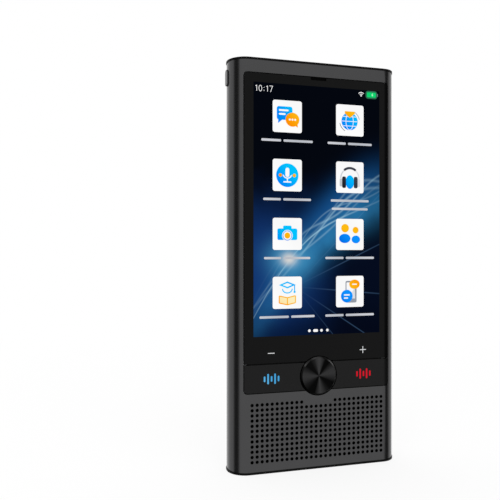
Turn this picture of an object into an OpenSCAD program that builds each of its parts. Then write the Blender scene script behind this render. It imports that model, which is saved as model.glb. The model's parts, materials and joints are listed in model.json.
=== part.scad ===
// Handheld translator: an extruded metal sleeve closed by two end caps, with a glass front,
// a strip of voice keys round a spun round key, a drilled loudspeaker grille and twin rear cameras.
// Upright, millimetres: +X to the right seen from the front, the front faces -Y, +Z is up,
// and the origin is the centre of the bottom face.

/* [Body] */
// Width across the sides
body_w = 64.4; // [60:0.1:70]
// Height from the bottom face to the top face
body_h = 146.5; // [135:0.5:160]
// Thickness from the front face to the crown of the back
body_t = 16; // [15:0.1:19]
// Wall of the metal sleeve
wall = 1.5; // [1.2:0.1:1.7]
// Across: how far in from the side the front edge starts to round
edge_across = 6.2; // [5.2:0.1:6.8]
// Deep: how far back from the front face the body is widest
edge_deep = 6.6; // [6:0.1:7.6]
// Fullness of the back across the body, 2 is an ellipse
back_fullness = 4; // [3:0.1:5]
// Fullness of the back from side to crown, 2 is an ellipse
crown_fullness = 2.6; // [2.3:0.1:3]

/* [End caps] */
// Thickness of the cap edge that shows
cap_edge = 0.7; // [0.4:0.1:1]
// How far the cap edge stands proud of the sleeve
cap_proud = 0.2; // [0.1:0.05:0.35]
// Depth of the lip that plugs into the sleeve
cap_lip = 2.4; // [1.5:0.1:2.7]
// Wall of that lip
cap_lip_wall = 1.1; // [0.8:0.1:1.3]
// Space left above and below the lips for what lies between them
cap_space = 0.2; // [0.1:0.05:0.4]

/* [Front opening and glass] */
// Metal beside the opening for the glass and the keys
opening_side = 4; // [3.6:0.1:4.4]
// Metal above the glass
glass_top_margin = 5.1; // [4.6:0.1:6]
// Corner radius of the opening
opening_r = 1.3; // [0.8:0.1:2]
// Gap round the glass
glass_gap = 0.3; // [0.1:0.05:0.4]
// Thickness of the cover glass
glass_t = 1.1; // [0.8:0.05:1.2]
// Thickness of the bonded frame between glass and chassis
bond_t = 0.15; // [0.1:0.05:0.2]
// How far inside the opening the bonded frame keeps
bond_inset = 0.5; // [0.4:0.05:0.8]
// Width of the earpiece notch in the top edge of the glass
ear_notch_w = 6; // [4:0.1:8]
// Height of that notch
ear_notch_h = 1; // [0.8:0.1:1.2]

/* [Display] */
// Glass on each side of the picture
picture_side = 3.2; // [2.8:0.1:4]
// Glass below the picture, down to the keys
picture_foot = 9.45; // [8.5:0.05:12]
// Distance of the picture's top edge below the top face
picture_top = 9.4; // [8.5:0.1:10.4]
// Border of the display panel round its picture, sides and top
panel_border = 1; // [0.6:0.1:1.2]
// Border of the display panel below its picture
panel_foot = 3.4; // [2:0.1:4]
// Thickness of the display panel
panel_t = 1.8; // [1.4:0.1:1.8]
// Space round the panel in its frame
panel_space = 0.2; // [0.1:0.05:0.3]

/* [Keys] */
// Height of the lower edge of the key strip above the bottom face
strip_bottom = 28.2; // [26:0.1:30]
// Height of the groove between keys and glass above the bottom face
groove_z = 38.6; // [37:0.1:42]
// Width of that groove
groove_w = 0.5; // [0.3:0.05:0.7]
// Gap round the voice keys
key_gap = 0.3; // [0.1:0.05:0.4]
// Thickness of the flanges that keep the keys in
flange_t = 0.6; // [0.4:0.05:0.7]
// How far those flanges reach behind the edges
flange_reach = 0.7; // [0.5:0.05:0.8]
// Play between a flange and the wall in front of it
flange_play = 0.1; // [0.05:0.05:0.15]
// How far short of the opening's side the voice keys' flanges end
flange_side = 2.2; // [1.8:0.1:3]
// Travel of each front key
key_travel = 0.3; // [0.2:0.05:0.35]
// Diameter of the round key
round_d = 13.75; // [12.5:0.05:15]
// How far the round key's centre lies above the middle of the strip
round_rise = 0.2; // [0:0.05:0.5]
// How far the round key stands proud of the face
round_proud = 0.5; // [0.35:0.05:0.8]
// Thickness of its metal disc
round_disc_t = 1.2; // [0.9:0.1:1.4]
// Width of the bevel round the disc
round_bevel_w = 0.5; // [0.3:0.05:0.8]
// Depth of that bevel
round_bevel_t = 0.35; // [0.2:0.05:0.6]
// Gap ring round the round key
round_gap = 0.35; // [0.25:0.05:0.5]
// How far the neck behind the disc is smaller than the disc
round_neck_step = 0.5; // [0.3:0.1:0.8]
// How far the round key's flange reaches past the gap ring
round_flange_reach = 0.5; // [0.4:0.05:0.7]
// Space round that flange in the voice keys
round_flange_space = 0.3; // [0.2:0.05:0.4]
// Diameter of the round key's stem
round_stem_d = 5; // [4:0.1:6]
// Diameter of a voice key's stem
voice_stem_d = 3; // [2.4:0.1:4]
// Running clearance of a key stem in its guide, all round
stem_clear = 0.05; // [0.03:0.01:0.08]
// How far a stem reaches out of its guide
stem_reach = 0.15; // [0.1:0.05:0.3]
// Clearance left between a key's stem and its switch when pressed
press_clear = 0.05; // [0.05:0.05:0.1]

/* [Wave marks] */
// Distance of a wave mark from the side of the opening
mark_side = 10.3; // [9:0.1:12]
// Spacing of the bars of a wave mark
mark_pitch = 1.3; // [1.1:0.05:1.4]
// Width of one bar
mark_bar_w = 0.65; // [0.5:0.05:0.9]
// Height of the long bars
mark_long = 3.7; // [3:0.1:4.4]
// Height of the short bars
mark_short = 2; // [1.6:0.1:2.8]
// Depth of the clear bars let into the key
mark_depth = 0.5; // [0.3:0.05:0.8]

/* [Side key] */
// Length of the power key
power_l = 5.8; // [5:0.1:6.6]
// Width of the power key
power_w = 2.4; // [2:0.1:2.8]
// How far it stands proud of the side
power_proud = 0.5; // [0.35:0.05:0.8]
// Travel of the power key
power_travel = 0.3; // [0.2:0.05:0.3]
// Distance of its centre below the top face
power_top = 6.2; // [5.6:0.1:8]
// Distance of its centre behind the front face
power_deep = 7.2; // [7:0.1:7.6]
// Gap round the power key
power_gap = 0.2; // [0.1:0.05:0.3]
// Thickness of its flange
power_flange_t = 0.6; // [0.5:0.05:0.8]
// How far its flange reaches behind the wall
power_flange_reach = 0.8; // [0.5:0.05:1]
// Play between its flange and the wall
power_play = 0.6; // [0.5:0.05:0.7]
// Space round its flange in the cap's lip
power_space = 0.3; // [0.2:0.05:0.4]
// Length of the nub that works its switch
power_nub_l = 0.45; // [0.3:0.05:0.7]
// Diameter of that nub
power_nub_d = 1.4; // [1:0.1:2]

/* [Loudspeaker grille] */
// Distance between holes across
grille_pitch_x = 1.86; // [1.6:0.02:2.1]
// Distance between holes up
grille_pitch_z = 1.82; // [1.6:0.02:2.1]
// Diameter of a hole
grille_d = 1.2; // [0.8:0.05:1.3]
// Flat metal kept beside the outermost holes' centres
grille_side = 0.8; // [0.6:0.1:1.6]
// Distance of the bottom row's centres above the cap's lip
grille_foot = 1.2; // [1.1:0.1:2]
// Distance of the highest row's centres below the key strip
grille_head = 3.3; // [3:0.1:5]
// Metal kept free between the holes and the ring round the round key
grille_keep = 3.6; // [2.6:0.1:4]

/* [Rear window] */
// Metal beside the rear window
window_side = 6.2; // [5.6:0.1:8]
// Window below the camera cover
window_foot = 2.4; // [2:0.1:5]
// Corner radius at its lower corners
window_r = 1.8; // [1:0.1:3]
// Thickness of the rear window
window_t = 0.8; // [0.6:0.05:0.9]
// Width of the ledge that the window is bonded to
window_ledge = 1.5; // [1:0.1:2]
// Thickness of the antenna under the window
antenna_t = 0.2; // [0.1:0.05:0.3]
// Distance of the antenna from the ledge and the camera cover
antenna_space = 1; // [0.5:0.1:3]

/* [Cameras] */
// Outside diameter of the camera rings
ring_d = 9; // [8.2:0.1:10]
// Width of the face of a camera ring
ring_w = 0.7; // [0.5:0.05:0.9]
// How far a ring stands proud of the camera cover
ring_proud = 0.33; // [0.1:0.01:0.6]
// Bevel on a ring's outer edge
ring_bevel = 0.12; // [0.05:0.01:0.2]
// Width of the sloping edge inside a ring
ring_slope = 0.18; // [0.1:0.01:0.3]
// Step from the ring in to the clear mouth in front of a camera
mouth_step = 0.6; // [0.4:0.1:1]
// How far a lens lies below the face of the camera cover
lens_sunk = 0.07; // [0:0.01:0.2]
// Diameter of the flash window
flash_d = 4.4; // [3.6:0.1:5]
// Distance from a ring to the flash window
flash_gap = 1.2; // [0.8:0.1:3]
// Cover beside a ring
cover_side = 1.05; // [0.7:0.05:2]
// Cover beyond each ring, up and down
cover_end = 0.7; // [0.5:0.1:2]
// Corner radius of the camera cover
cover_r = 2; // [1:0.1:3]
// Distance of the camera cover below the top face
cover_top = 3.1; // [2.8:0.1:5]
// How far the camera cover stands proud of the window
cover_proud = 0.12; // [0:0.02:0.3]
// Thickness of the flange behind the camera cover
cover_flange_t = 0.5; // [0.4:0.05:0.7]
// How far that flange reaches
cover_flange_reach = 0.5; // [0.4:0.05:1]
// Side of a camera module's square body
camera_w = 8.4; // [8:0.1:9]
// Length of a camera module's barrel
barrel_l = 2.1; // [1.8:0.1:2.4]
// Space round a barrel in the cover
barrel_space = 0.15; // [0.1:0.05:0.3]
// Wall of that barrel at its mouth
barrel_wall = 0.5; // [0.4:0.05:0.6]
// Wall of the bracket that holds the modules
bracket_wall = 1.3; // [1:0.1:1.6]
// Side of the flash chip
led_w = 3; // [2:0.1:3.4]
// Height of the flash chip
led_t = 1.2; // [0.6:0.1:1.4]

/* [Ports and microphones] */
// Width of the charging port's shell
port_w = 8.94; // [8.9:0.01:9]
// Height of the charging port's shell
port_t = 3.26; // [3.2:0.01:3.3]
// Height of the flat ends of its oval
port_flat = 0.16; // [0:0.02:0.4]
// Length of the charging port's shell
port_l = 7.4; // [6.5:0.1:9]
// Thickness of its sheet
port_sheet = 0.35; // [0.25:0.05:0.4]
// How far its mouth lies inside the bottom face
port_sunk = 0.4; // [0.2:0.05:0.6]
// Space round it in the cap
port_space = 0.25; // [0.15:0.05:0.4]
// Width of the tongue in the port
tongue_w = 6.6; // [6:0.1:7]
// Thickness of that tongue
tongue_t = 0.7; // [0.6:0.05:0.8]
// Diameter of a microphone hole
mic_d = 0.9; // [0.6:0.05:1.2]
// Distance of the upper microphone below the top face
mic_upper_top = 22.3; // [20:0.1:26]
// Distance of the lower microphone below the top face
mic_lower_top = 77.1; // [70:0.1:84]
// Length of a microphone
mic_l = 3.8; // [3:0.1:4.5]
// Width of a microphone
mic_w = 2.9; // [2:0.1:3.2]
// Thickness of a microphone
mic_t = 1; // [0.8:0.1:1.2]
// Gasket space between a microphone and the wall
mic_space = 0.7; // [0.6:0.05:0.9]
// Width of the flex behind the microphones
mic_flex_w = 4; // [3:0.1:5]
// How far that flex runs past each microphone's hole
mic_flex_end = 3; // [2:0.1:5]
// Thickness of the flexes
flex_t = 0.2; // [0.1:0.05:0.3]

/* [Boards and battery] */
// Thickness of the chassis plate
chassis_t = 0.8; // [0.6:0.05:0.9]
// Space between the chassis and the sleeve
chassis_space = 0.15; // [0.1:0.05:0.3]
// Thickness of the small boards
small_board_t = 0.8; // [0.6:0.1:0.8]
// Thickness of the main board
main_board_t = 1; // [0.8:0.1:1.2]
// Height of the main board
main_board_h = 45; // [44:0.5:50]
// Space beside the main board
main_board_side = 4.2; // [3.8:0.1:6]
// Stand-off of the main board from the chassis
main_board_gap = 1.6; // [1.2:0.1:1.8]
// Distance of its lower screws from its lower edge
main_screw_low = 2.4; // [2.2:0.1:4]
// Distance of its upper screws from its upper edge
main_screw_high = 10; // [9:0.5:14]
// Distance of its screws from its sides
main_screw_side = 2.9; // [2.6:0.1:4]
// Height of the key board
key_board_h = 19.4; // [18:0.1:22]
// Space beside the key board
key_board_side = 3.7; // [3.2:0.1:5]
// Distance of its screws from its sides
key_screw_side = 2.6; // [2.2:0.1:4]
// Space beside the port board
port_board_side = 2.1; // [1.8:0.1:3]
// Distance of its screws from its sides
port_screw_side = 1.6; // [1.6:0.1:2.4]
// Distance of its screws from its ends
port_screw_end = 3; // [2:0.1:4]
// Space between one board, the battery or the loudspeaker and the next
board_space = 0.4; // [0.3:0.05:1]
// Height of a dome switch
dome_h = 0.6; // [0.5:0.05:0.7]
// Diameter of a dome switch
dome_d = 4; // [3:0.1:5]
// Space beside the battery
battery_side = 6.7; // [6.2:0.1:10]
// Thickness of the battery
battery_t = 7.9; // [6:0.1:8.4]
// Corner radius of the battery
battery_r = 1.5; // [0.5:0.1:3]
// Width of the ribbon beside the battery
ribbon_w = 4; // [3:0.1:5]
// Shank diameter of a board screw
screw_d = 1.6; // [1.4:0.1:1.8]
// Length of its shank
screw_l = 2.2; // [1.8:0.1:2.4]
// Head diameter of a board screw
screw_head_d = 3; // [2.6:0.1:3.4]
// Height of its head
screw_head_t = 0.6; // [0.4:0.1:0.9]
// Chassis left under a screw's blind hole
screw_floor = 0.2; // [0.2:0.05:0.3]
// Wall of the bosses that take the screws
boss_wall = 0.9; // [0.7:0.05:1.1]

/* [Parts on the boards] */
// Height of a shield can
can_t = 1.8; // [1.4:0.1:2.2]
// Thickness of its sheet
can_sheet = 0.2; // [0.15:0.05:0.3]
// Board left free above and below the cans
can_end = 6; // [4:0.5:8]
// Board left free between a can and the camera bracket
can_inside = 2; // [1:0.1:3]
// Board left free between a can and the screws
can_outside = 2.6; // [1:0.1:4]
// Side of the processor
processor_w = 8; // [7:0.5:8]
// Height of the processor
processor_t = 0.9; // [0.7:0.1:1.2]
// Length of the side switch's body along the board's edge
side_switch_l = 4.6; // [4:0.1:5]
// Width of the side switch's body
side_switch_w = 2.6; // [2:0.1:3]
// Height of the side switch's body
side_switch_t = 1.9; // [1.5:0.1:2.2]
// How far its plunger stands out
plunger_l = 0.4; // [0.35:0.05:0.6]
// Length of the plunger along the board's edge
plunger_w = 1.8; // [1.4:0.1:2.4]
// Height of the plunger
plunger_t = 1.2; // [0.8:0.1:1.6]
// Diameter of the vibration motor
motor_d = 8; // [6:0.5:9]
// Height of the vibration motor
motor_t = 2.7; // [2:0.1:3]
// Distance of the motor from the side of the loudspeaker box
motor_side = 5; // [2:0.5:6]

/* [Loudspeaker and earpiece] */
// Depth of the loudspeaker box
speaker_t = 3.95; // [3.4:0.05:4.3]
// Diameter of a loudspeaker driver
driver_d = 15; // [13:0.5:17]
// Distance of each driver from the middle
driver_x = 10; // [9:0.5:12]
// Floor of the box behind a driver
speaker_floor = 0.8; // [0.6:0.1:1]
// Space round a driver in the box
driver_space = 0.1; // [0.05:0.05:0.2]
// Width of a driver's rim
driver_rim = 0.8; // [0.6:0.1:1.2]
// Diameter of a driver's dust cap
dust_cap_d = 5.2; // [4:0.1:6]
// Space between the box and the port board's bosses
speaker_side = 0.3; // [0.2:0.05:1]
// Space between the keys' flanges and the box
speaker_head = 0.3; // [0.2:0.05:1]
// Thickness of the foam gasket in front of the loudspeaker
foam_t = 0.8; // [0.6:0.05:0.9]
// Width of that gasket
foam_w = 3; // [2:0.1:4]
// Thickness of the acoustic mesh
mesh_t = 0.15; // [0.1:0.05:0.2]
// How far the mesh reaches past the holes' edges
mesh_edge = 0.25; // [0.1:0.05:0.4]
// Width of the earpiece
earpiece_w = 12; // [8:0.5:14]
// Space round the earpiece
ear_space = 0.15; // [0.1:0.05:0.3]
// How far the earpiece's mesh is sunk below the face
ear_mesh_sunk = 0.4; // [0.2:0.05:0.6]

/* [Fits] */
// Fit clearance between a piece and the edge it lies in
fit = 0.08; // [0.05:0.01:0.12]
// Play of a screw in its hole, all round
screw_play = 0.05; // [0.03:0.01:0.1]
// Clearance of a round camera part in its seat, all round
ring_fit = 0.02; // [0.01:0.01:0.04]

/* [Hidden] */
// Steps in a quarter of the rounded front edge, of the back and of a corner
EDGE_STEPS = 10;
BACK_STEPS = 16;
CORNER_STEPS = 5;
ROUND = 48;
HOLE_ROUND = 24;
DOME_STEPS = 4;
// Depths of a driver's cone at its edge, its foot and its dust cap
CONE_EDGE = 0.5;
CONE_FOOT = 1.3;
CONE_CAP = 0.9;
// Shortest flat between two rounded corners
FLAT = 0.02;
// How far a cutter runs past what it cuts
OVER = 1;
// How far one solid is sunk into another that it is fused with
SINK = 0.1;

front_y = -body_t / 2;
back_y = body_t / 2;
widest_y = front_y + edge_deep;
middle_y = front_y + body_t / 2;
inner_w = body_w - 2 * wall;
sleeve_z0 = cap_edge;
sleeve_z1 = body_h - cap_edge;
lip_z0 = cap_edge + cap_lip;
lip_z1 = body_h - lip_z0;

// Layers behind the front face
glass_back = front_y + glass_t;
rim_y = glass_back + bond_t;
chassis_y = glass_back + panel_t;
chassis_back = chassis_y + chassis_t;
wall_back = front_y + wall;

// Front face, upwards
opening_w = body_w - 2 * opening_side;
glass_z0 = groove_z + groove_w / 2;
glass_z1 = body_h - glass_top_margin;
keys_z1 = groove_z - groove_w / 2;
key_z = (strip_bottom + keys_z1) / 2;
round_z = key_z + round_rise;
picture_z0 = glass_z0 + picture_foot;
picture_z1 = body_h - picture_top;
picture_w = opening_w - 2 * picture_side;
panel_z0 = picture_z0 - panel_foot;
panel_z1 = picture_z1 + panel_border;
panel_w = picture_w + 2 * panel_border;
rim_w = opening_w - 2 * bond_inset;
rim_z0 = glass_z0 + flange_reach + bond_inset;
rim_z1 = glass_z1 - bond_inset;
chassis_z0 = lip_z0 + cap_space;
chassis_z1 = lip_z1 - cap_space;

// Keys
round_r = round_d / 2;
ring_hole_r = round_r + round_gap;
round_flange_r = ring_hole_r + round_flange_reach;
round_relief_r = round_flange_r + round_flange_space;
flange_y = wall_back + flange_play;
flange_back = flange_y + flange_t;
round_relief_y = flange_y - key_travel - 2 * flange_play;
stem_tip = chassis_back + stem_reach;
dome_y = stem_tip + key_travel + press_clear;
key_board_y = dome_y + dome_h;
key_board_back = key_board_y + small_board_t;
mark_x = opening_w / 2 - mark_side;
MARK_BARS = [mark_short, mark_long, mark_short, mark_long, mark_short];

// Power key and its switch
power_z = body_h - power_top;
power_y = front_y + power_deep;
power_flange_x = -inner_w / 2 + power_play;
power_flange_back = power_flange_x + power_flange_t;
power_tip_x = power_flange_back + power_nub_l;
side_switch_x = power_tip_x + power_travel + press_clear;

// Loudspeaker grille
grille_cols = 2 * floor((body_w / 2 - edge_across - grille_side) / grille_pitch_x + 0.5);
grille_z = lip_z0 + grille_foot;
grille_rows = floor((strip_bottom - grille_head - grille_z) / grille_pitch_z + 1);
grille_r = grille_d / 2;
mesh_w = (grille_cols - 1) * grille_pitch_x + grille_d + 2 * mesh_edge;
mesh_z0 = grille_z - grille_r - mesh_edge;
mesh_z1 = grille_z + (grille_rows - 1) * grille_pitch_z + grille_r + mesh_edge;

// Screws: three groups of the same screw, each at [x, z]
screw_r = screw_d / 2;
boss_r = screw_r + boss_wall;

// Loudspeaker and the port board behind it
port_board_w = inner_w - 2 * port_board_side;
port_screw_x = port_board_w / 2 - port_screw_side;
speaker_w = 2 * (port_screw_x - boss_r - speaker_side);
speaker_y = wall_back + mesh_t + foam_t;
speaker_back = speaker_y + speaker_t;
speaker_z0 = chassis_z0 + cap_space;
speaker_z1 = min(strip_bottom - flange_reach, round_z - round_flange_r) - speaker_head;
driver_r = driver_d / 2;
driver_z = (speaker_z0 + speaker_z1) / 2;
driver_back = speaker_back - speaker_floor;
port_board_y = speaker_back + SINK;
port_board_back = port_board_y + small_board_t;
port_board_z0 = chassis_z0;
port_board_z1 = speaker_z1 + board_space;
PORT_SCREWS = [for (x = [-1, 1], z = [port_board_z0 + port_screw_end,
    port_board_z1 - port_screw_end]) [x * port_screw_x, z]];
port_y = port_board_back + port_t / 2;
port_r = (port_t - port_flat) / 2;
motor_x = speaker_w / 2 - motor_side - motor_d / 2;

// Key board, battery and main board
key_board_w = inner_w - 2 * key_board_side;
key_board_z0 = port_board_z1 + board_space;
key_board_z1 = key_board_z0 + key_board_h;
KEY_SCREWS = [for (x = [-1, 1]) [x * (key_board_w / 2 - key_screw_side), key_z]];
main_board_w = inner_w - 2 * main_board_side;
main_board_y = chassis_back + main_board_gap;
main_board_back = main_board_y + main_board_t;
main_board_z1 = chassis_z1 - cap_space / 2;
main_board_z0 = main_board_z1 - main_board_h;
main_screw_x = main_board_w / 2 - main_screw_side;
MAIN_SCREWS = [for (x = [-1, 1], z = [main_board_z0 + main_screw_low,
    main_board_z1 - main_screw_high]) [x * main_screw_x, z]];
battery_w = inner_w - 2 * battery_side;
battery_z0 = key_board_z1 + board_space;
battery_z1 = main_board_z0 - 2 * board_space;
ribbon_x = -battery_w / 2 - board_space;

// Back
window_w = body_w - 2 * window_side;
ring_r = ring_d / 2;
lens_r = ring_r - ring_w;
aperture_r = lens_r - mouth_step;
flash_r = flash_d / 2;
camera_offset = ring_r + flash_gap + flash_r;
cover_w = ring_d + 2 * cover_side;
cover_h = 2 * (camera_offset + ring_r + cover_end);
cover_z = body_h - cover_top - cover_h / 2;
window_z0 = cover_z - cover_h / 2 - window_foot;
cover_face = back_y + cover_proud;
cover_seat = back_y - window_t - fit;
cover_flange_back = cover_seat - cover_flange_t;
lens_face = cover_face - lens_sunk;
CAMERA_Z = [cover_z - camera_offset, cover_z + camera_offset];
bracket_w = camera_w + 2 * bracket_wall;
bracket_back = cover_seat - barrel_l;
bracket_z0 = CAMERA_Z[0] - bracket_w / 2;
bracket_z1 = min(CAMERA_Z[1] + bracket_w / 2, main_board_z1);
barrel_r = aperture_r - barrel_space;

// Shield cans between the camera bracket and the screws
can_x0 = bracket_w / 2 + can_inside;
can_x1 = main_screw_x - screw_head_d / 2 - can_outside;
can_z0 = main_board_z0 + can_end;
can_z1 = main_board_z1 - can_end;

METAL = "#4b4b4d";
BLACK = "#1c1c1e";
BOARD = "#17452f";
STEEL = "#b9bcc0";

// Cross-section of the body drawn in by inset: flat front, rounded edges, crowned back
function outline(inset) =
    let (half = body_w / 2 - inset,
         across = edge_across - inset,
         deep = edge_deep - inset,
         crown = body_t - edge_deep - inset)
    concat(
        [for (i = [0:EDGE_STEPS]) let (a = 90 * i / EDGE_STEPS)
            [-half + across * (1 - cos(a)), widest_y - deep * sin(a)]],
        [for (i = [0:EDGE_STEPS]) let (a = 90 - 90 * i / EDGE_STEPS)
            [half - across * (1 - cos(a)), widest_y - deep * sin(a)]],
        [for (i = [1:2 * BACK_STEPS - 1]) let (a = 90 * i / BACK_STEPS)
            [half * sign(cos(a)) * pow(abs(cos(a)), 2 / back_fullness),
             widest_y + crown * pow(sin(a), 2 / crown_fullness)]]);

// A rectangle w wide from z0 to z1, its corners rounded by r
function rounded(w, z0, z1, r) =
    [for (q = [0:3], i = [0:CORNER_STEPS])
        let (a = 90 * (q + i / CORNER_STEPS),
             x = (q == 0 || q == 3 ? 1 : -1) * (w / 2 - r),
             z = q < 2 ? z1 - r : z0 + r)
        [x + r * cos(a), z + r * sin(a)]];

// The body's section, inset, from z0 to z1
module prism(inset, z0, z1) {
    translate([0, 0, z0])
        linear_extrude(z1 - z0)
            polygon(outline(inset));
}

// A flat shape drawn as seen from the front, from depth y0 to y1
module layer(y0, y1) {
    translate([0, y1, 0])
        rotate([90, 0, 0])
            linear_extrude(y1 - y0)
                children();
}

module pane(w, z0, z1, r, y0, y1) {
    layer(y0, y1)
        polygon(rounded(w, z0, z1, r));
}

module block(x0, x1, y0, y1, z0, z1) {
    translate([x0, y0, z0])
        cube([x1 - x0, y1 - y0, z1 - z0]);
}

// A round bar along Y
module drum(x, z, r, y0, y1, sides = ROUND) {
    translate([x, y1, z])
        rotate([90, 0, 0])
            cylinder(r = r, h = y1 - y0, $fn = sides);
}

// The hole in the front that glass and keys lie in, drawn in by inset
module front_opening(inset, y0, y1) {
    pane(opening_w - 2 * inset, strip_bottom + inset, glass_z1 - inset, opening_r - inset,
        y0, y1);
    drum(0, round_z, ring_hole_r, y0, y1);
}

module grille_holes() {
    for (row = [0:grille_rows - 1], col = [0:grille_cols - 1]) {
        x = (col - (grille_cols - 1) / 2) * grille_pitch_x;
        z = grille_z + row * grille_pitch_z;
        if (norm([x, z - round_z]) > ring_hole_r + grille_keep)
            drum(x, z, grille_r, front_y - OVER, wall_back + OVER, HOLE_ROUND);
    }
}

// A pill along Z in the left side wall, from x0 to x1
module power_pill(grow, x0, x1) {
    r = power_w / 2 + grow;
    run = power_l - power_w;
    translate([x0, power_y, power_z])
        rotate([0, 90, 0])
            linear_extrude(x1 - x0)
                polygon([for (q = [0:1], i = [0:2 * CORNER_STEPS])
                    let (a = 180 * q + 90 * i / CORNER_STEPS - 90)
                    [(q == 0 ? run / 2 : -run / 2) + r * cos(a), r * sin(a)]]);
}

module mic_holes() {
    for (drop = [mic_upper_top, mic_lower_top])
        translate([body_w / 2 - wall - OVER, middle_y, body_h - drop])
            rotate([0, 90, 0])
                cylinder(r = mic_d / 2, h = wall + 2 * OVER, $fn = HOLE_ROUND);
}

// The rear window's shape, drawn in by inset and running out past the sleeve's top
module window_shape(inset, y0, y1, z1) {
    layer(y0, y1)
        polygon(concat(
            [for (i = [0:CORNER_STEPS]) let (a = 180 + 90 * i / CORNER_STEPS)
                [-window_w / 2 + inset + window_r * (1 + cos(a)),
                 window_z0 + inset + window_r * (1 + sin(a))]],
            [for (i = [0:CORNER_STEPS]) let (a = 270 + 90 * i / CORNER_STEPS)
                [window_w / 2 - inset - window_r * (1 - cos(a)),
                 window_z0 + inset + window_r * (1 + sin(a))]],
            [[window_w / 2 - inset, z1], [-window_w / 2 + inset, z1]]));
}

// The extruded sleeve with its openings and the drilled grille
module housing_sleeve() {
    color(METAL)
    difference() {
        prism(0, sleeve_z0, sleeve_z1);
        prism(wall, 0, body_h);
        front_opening(0, front_y - OVER, chassis_y);
        grille_holes();
        difference() {
            window_shape(0, widest_y + OVER, back_y + OVER, body_h);
            prism(window_t, 0, body_h + OVER);
        }
        window_shape(window_ledge, widest_y + OVER, back_y + OVER, body_h);
        power_pill(power_gap, -body_w / 2 - OVER, -body_w / 2 + wall + OVER);
        mic_holes();
    }
}

// One end cap: an edge plate and the lip that plugs into the sleeve
module end_cap(edge_z0, edge_z1, plug_z0, plug_z1) {
    prism(-cap_proud, edge_z0, edge_z1);
    difference() {
        prism(wall + fit, plug_z0, plug_z1);
        prism(wall + fit + cap_lip_wall, plug_z0 - OVER, plug_z1 + OVER);
    }
}

// The lip is cut back beside the power key, which moves there
module top_cap() {
    reach = power_w / 2 + power_flange_reach + power_space;
    color(BLACK)
    difference() {
        end_cap(sleeve_z1, body_h, lip_z1, sleeve_z1);
        block(-body_w, power_tip_x + power_travel + power_space, power_y - reach, power_y + reach,
            0, power_z + power_l / 2 + power_flange_reach + power_space);
    }
}

module bottom_cap() {
    color(BLACK)
    difference() {
        end_cap(0, cap_edge, cap_edge, lip_z0);
        translate([0, 0, -OVER])
            linear_extrude(cap_edge + 2 * OVER)
                translate([0, port_y])
                    polygon(rounded(port_w + 2 * port_space, -port_t / 2 - port_space,
                        port_t / 2 + port_space, port_r + port_space));
    }
}

// Cover glass: follows the body's front, with notches for the round key and the earpiece
module front_glass() {
    color("#101216")
    difference() {
        intersection() {
            prism(0, glass_z0, glass_z1);
            difference() {
                front_opening(glass_gap, front_y - OVER, glass_back);
                block(-body_w, body_w, front_y - 2 * OVER, glass_back + OVER, 0, glass_z0);
            }
        }
        drum(0, round_z, ring_hole_r, front_y - OVER, glass_back + OVER);
        block(-ear_notch_w / 2, ear_notch_w / 2, front_y - OVER, glass_back + OVER,
            glass_z1 - glass_gap - ear_notch_h, glass_z1 + OVER);
    }
}

// The frame behind the edge of the glass, round the display panel
module rim_frame(y0, y1) {
    difference() {
        pane(rim_w, rim_z0, rim_z1, opening_r, y0, y1);
        block(-panel_w / 2 - panel_space, panel_w / 2 + panel_space, y0 - OVER, y1 + OVER,
            panel_z0 - panel_space, panel_z1 + panel_space);
        drum(0, round_z, round_relief_r, y0 - OVER, y1 + OVER);
        earpiece_room();
    }
}

module earpiece_room() {
    block(-earpiece_w / 2 - ear_space, earpiece_w / 2 + ear_space, glass_back - OVER,
        chassis_back + OVER, panel_z1 + board_space - ear_space, chassis_z1 + OVER);
}

module glass_bond() {
    color("#2a2a2a")
        rim_frame(glass_back, rim_y);
}

module display_panel() {
    color("#0a1430")
        block(-panel_w / 2, panel_w / 2, glass_back, chassis_y, panel_z0, panel_z1);
}

module stem_guides(grow) {
    drum(0, round_z, round_stem_d / 2 + grow, chassis_y - OVER, chassis_back + OVER);
    for (side = [-1, 1])
        drum(side * mark_x, key_z, voice_stem_d / 2 + grow, chassis_y - OVER, chassis_back + OVER);
}

module bosses(spots, top) {
    for (s = spots)
        drum(s[0], s[1], boss_r, chassis_back - SINK, top);
}

module boss_holes(spots, top) {
    for (s = spots)
        drum(s[0], s[1], screw_r + screw_play, chassis_y + screw_floor, top + OVER, HOLE_ROUND);
}

// The frame that carries glass, display, keys, boards, battery and loudspeaker
module chassis() {
    color("#8d9196")
    difference() {
        union() {
            intersection() {
                prism(wall + chassis_space, chassis_z0, chassis_z1);
                block(-body_w, body_w, chassis_y, chassis_back, 0, body_h);
            }
            rim_frame(rim_y, chassis_y + SINK);
            bosses(MAIN_SCREWS, main_board_y);
            bosses(PORT_SCREWS, port_board_y);
            bosses(KEY_SCREWS, key_board_y);
        }
        block(-speaker_w / 2 - speaker_side, speaker_w / 2 + speaker_side, chassis_y - OVER,
            chassis_back + OVER, 0, speaker_z1 + board_space);
        earpiece_room();
        stem_guides(stem_clear);
        boss_holes(MAIN_SCREWS, main_board_y);
        boss_holes(PORT_SCREWS, port_board_y);
        boss_holes(KEY_SCREWS, key_board_y);
    }
}

// Bars of a wave mark, set in the face of a voice key
module wave_bars(x, y0, y1) {
    for (i = [0:len(MARK_BARS) - 1])
        layer(y0, y1)
            translate([x + (i - (len(MARK_BARS) - 1) / 2) * mark_pitch, key_z])
                polygon(rounded(mark_bar_w, -MARK_BARS[i] / 2, MARK_BARS[i] / 2,
                    (mark_bar_w - FLAT) / 2));
}

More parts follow.
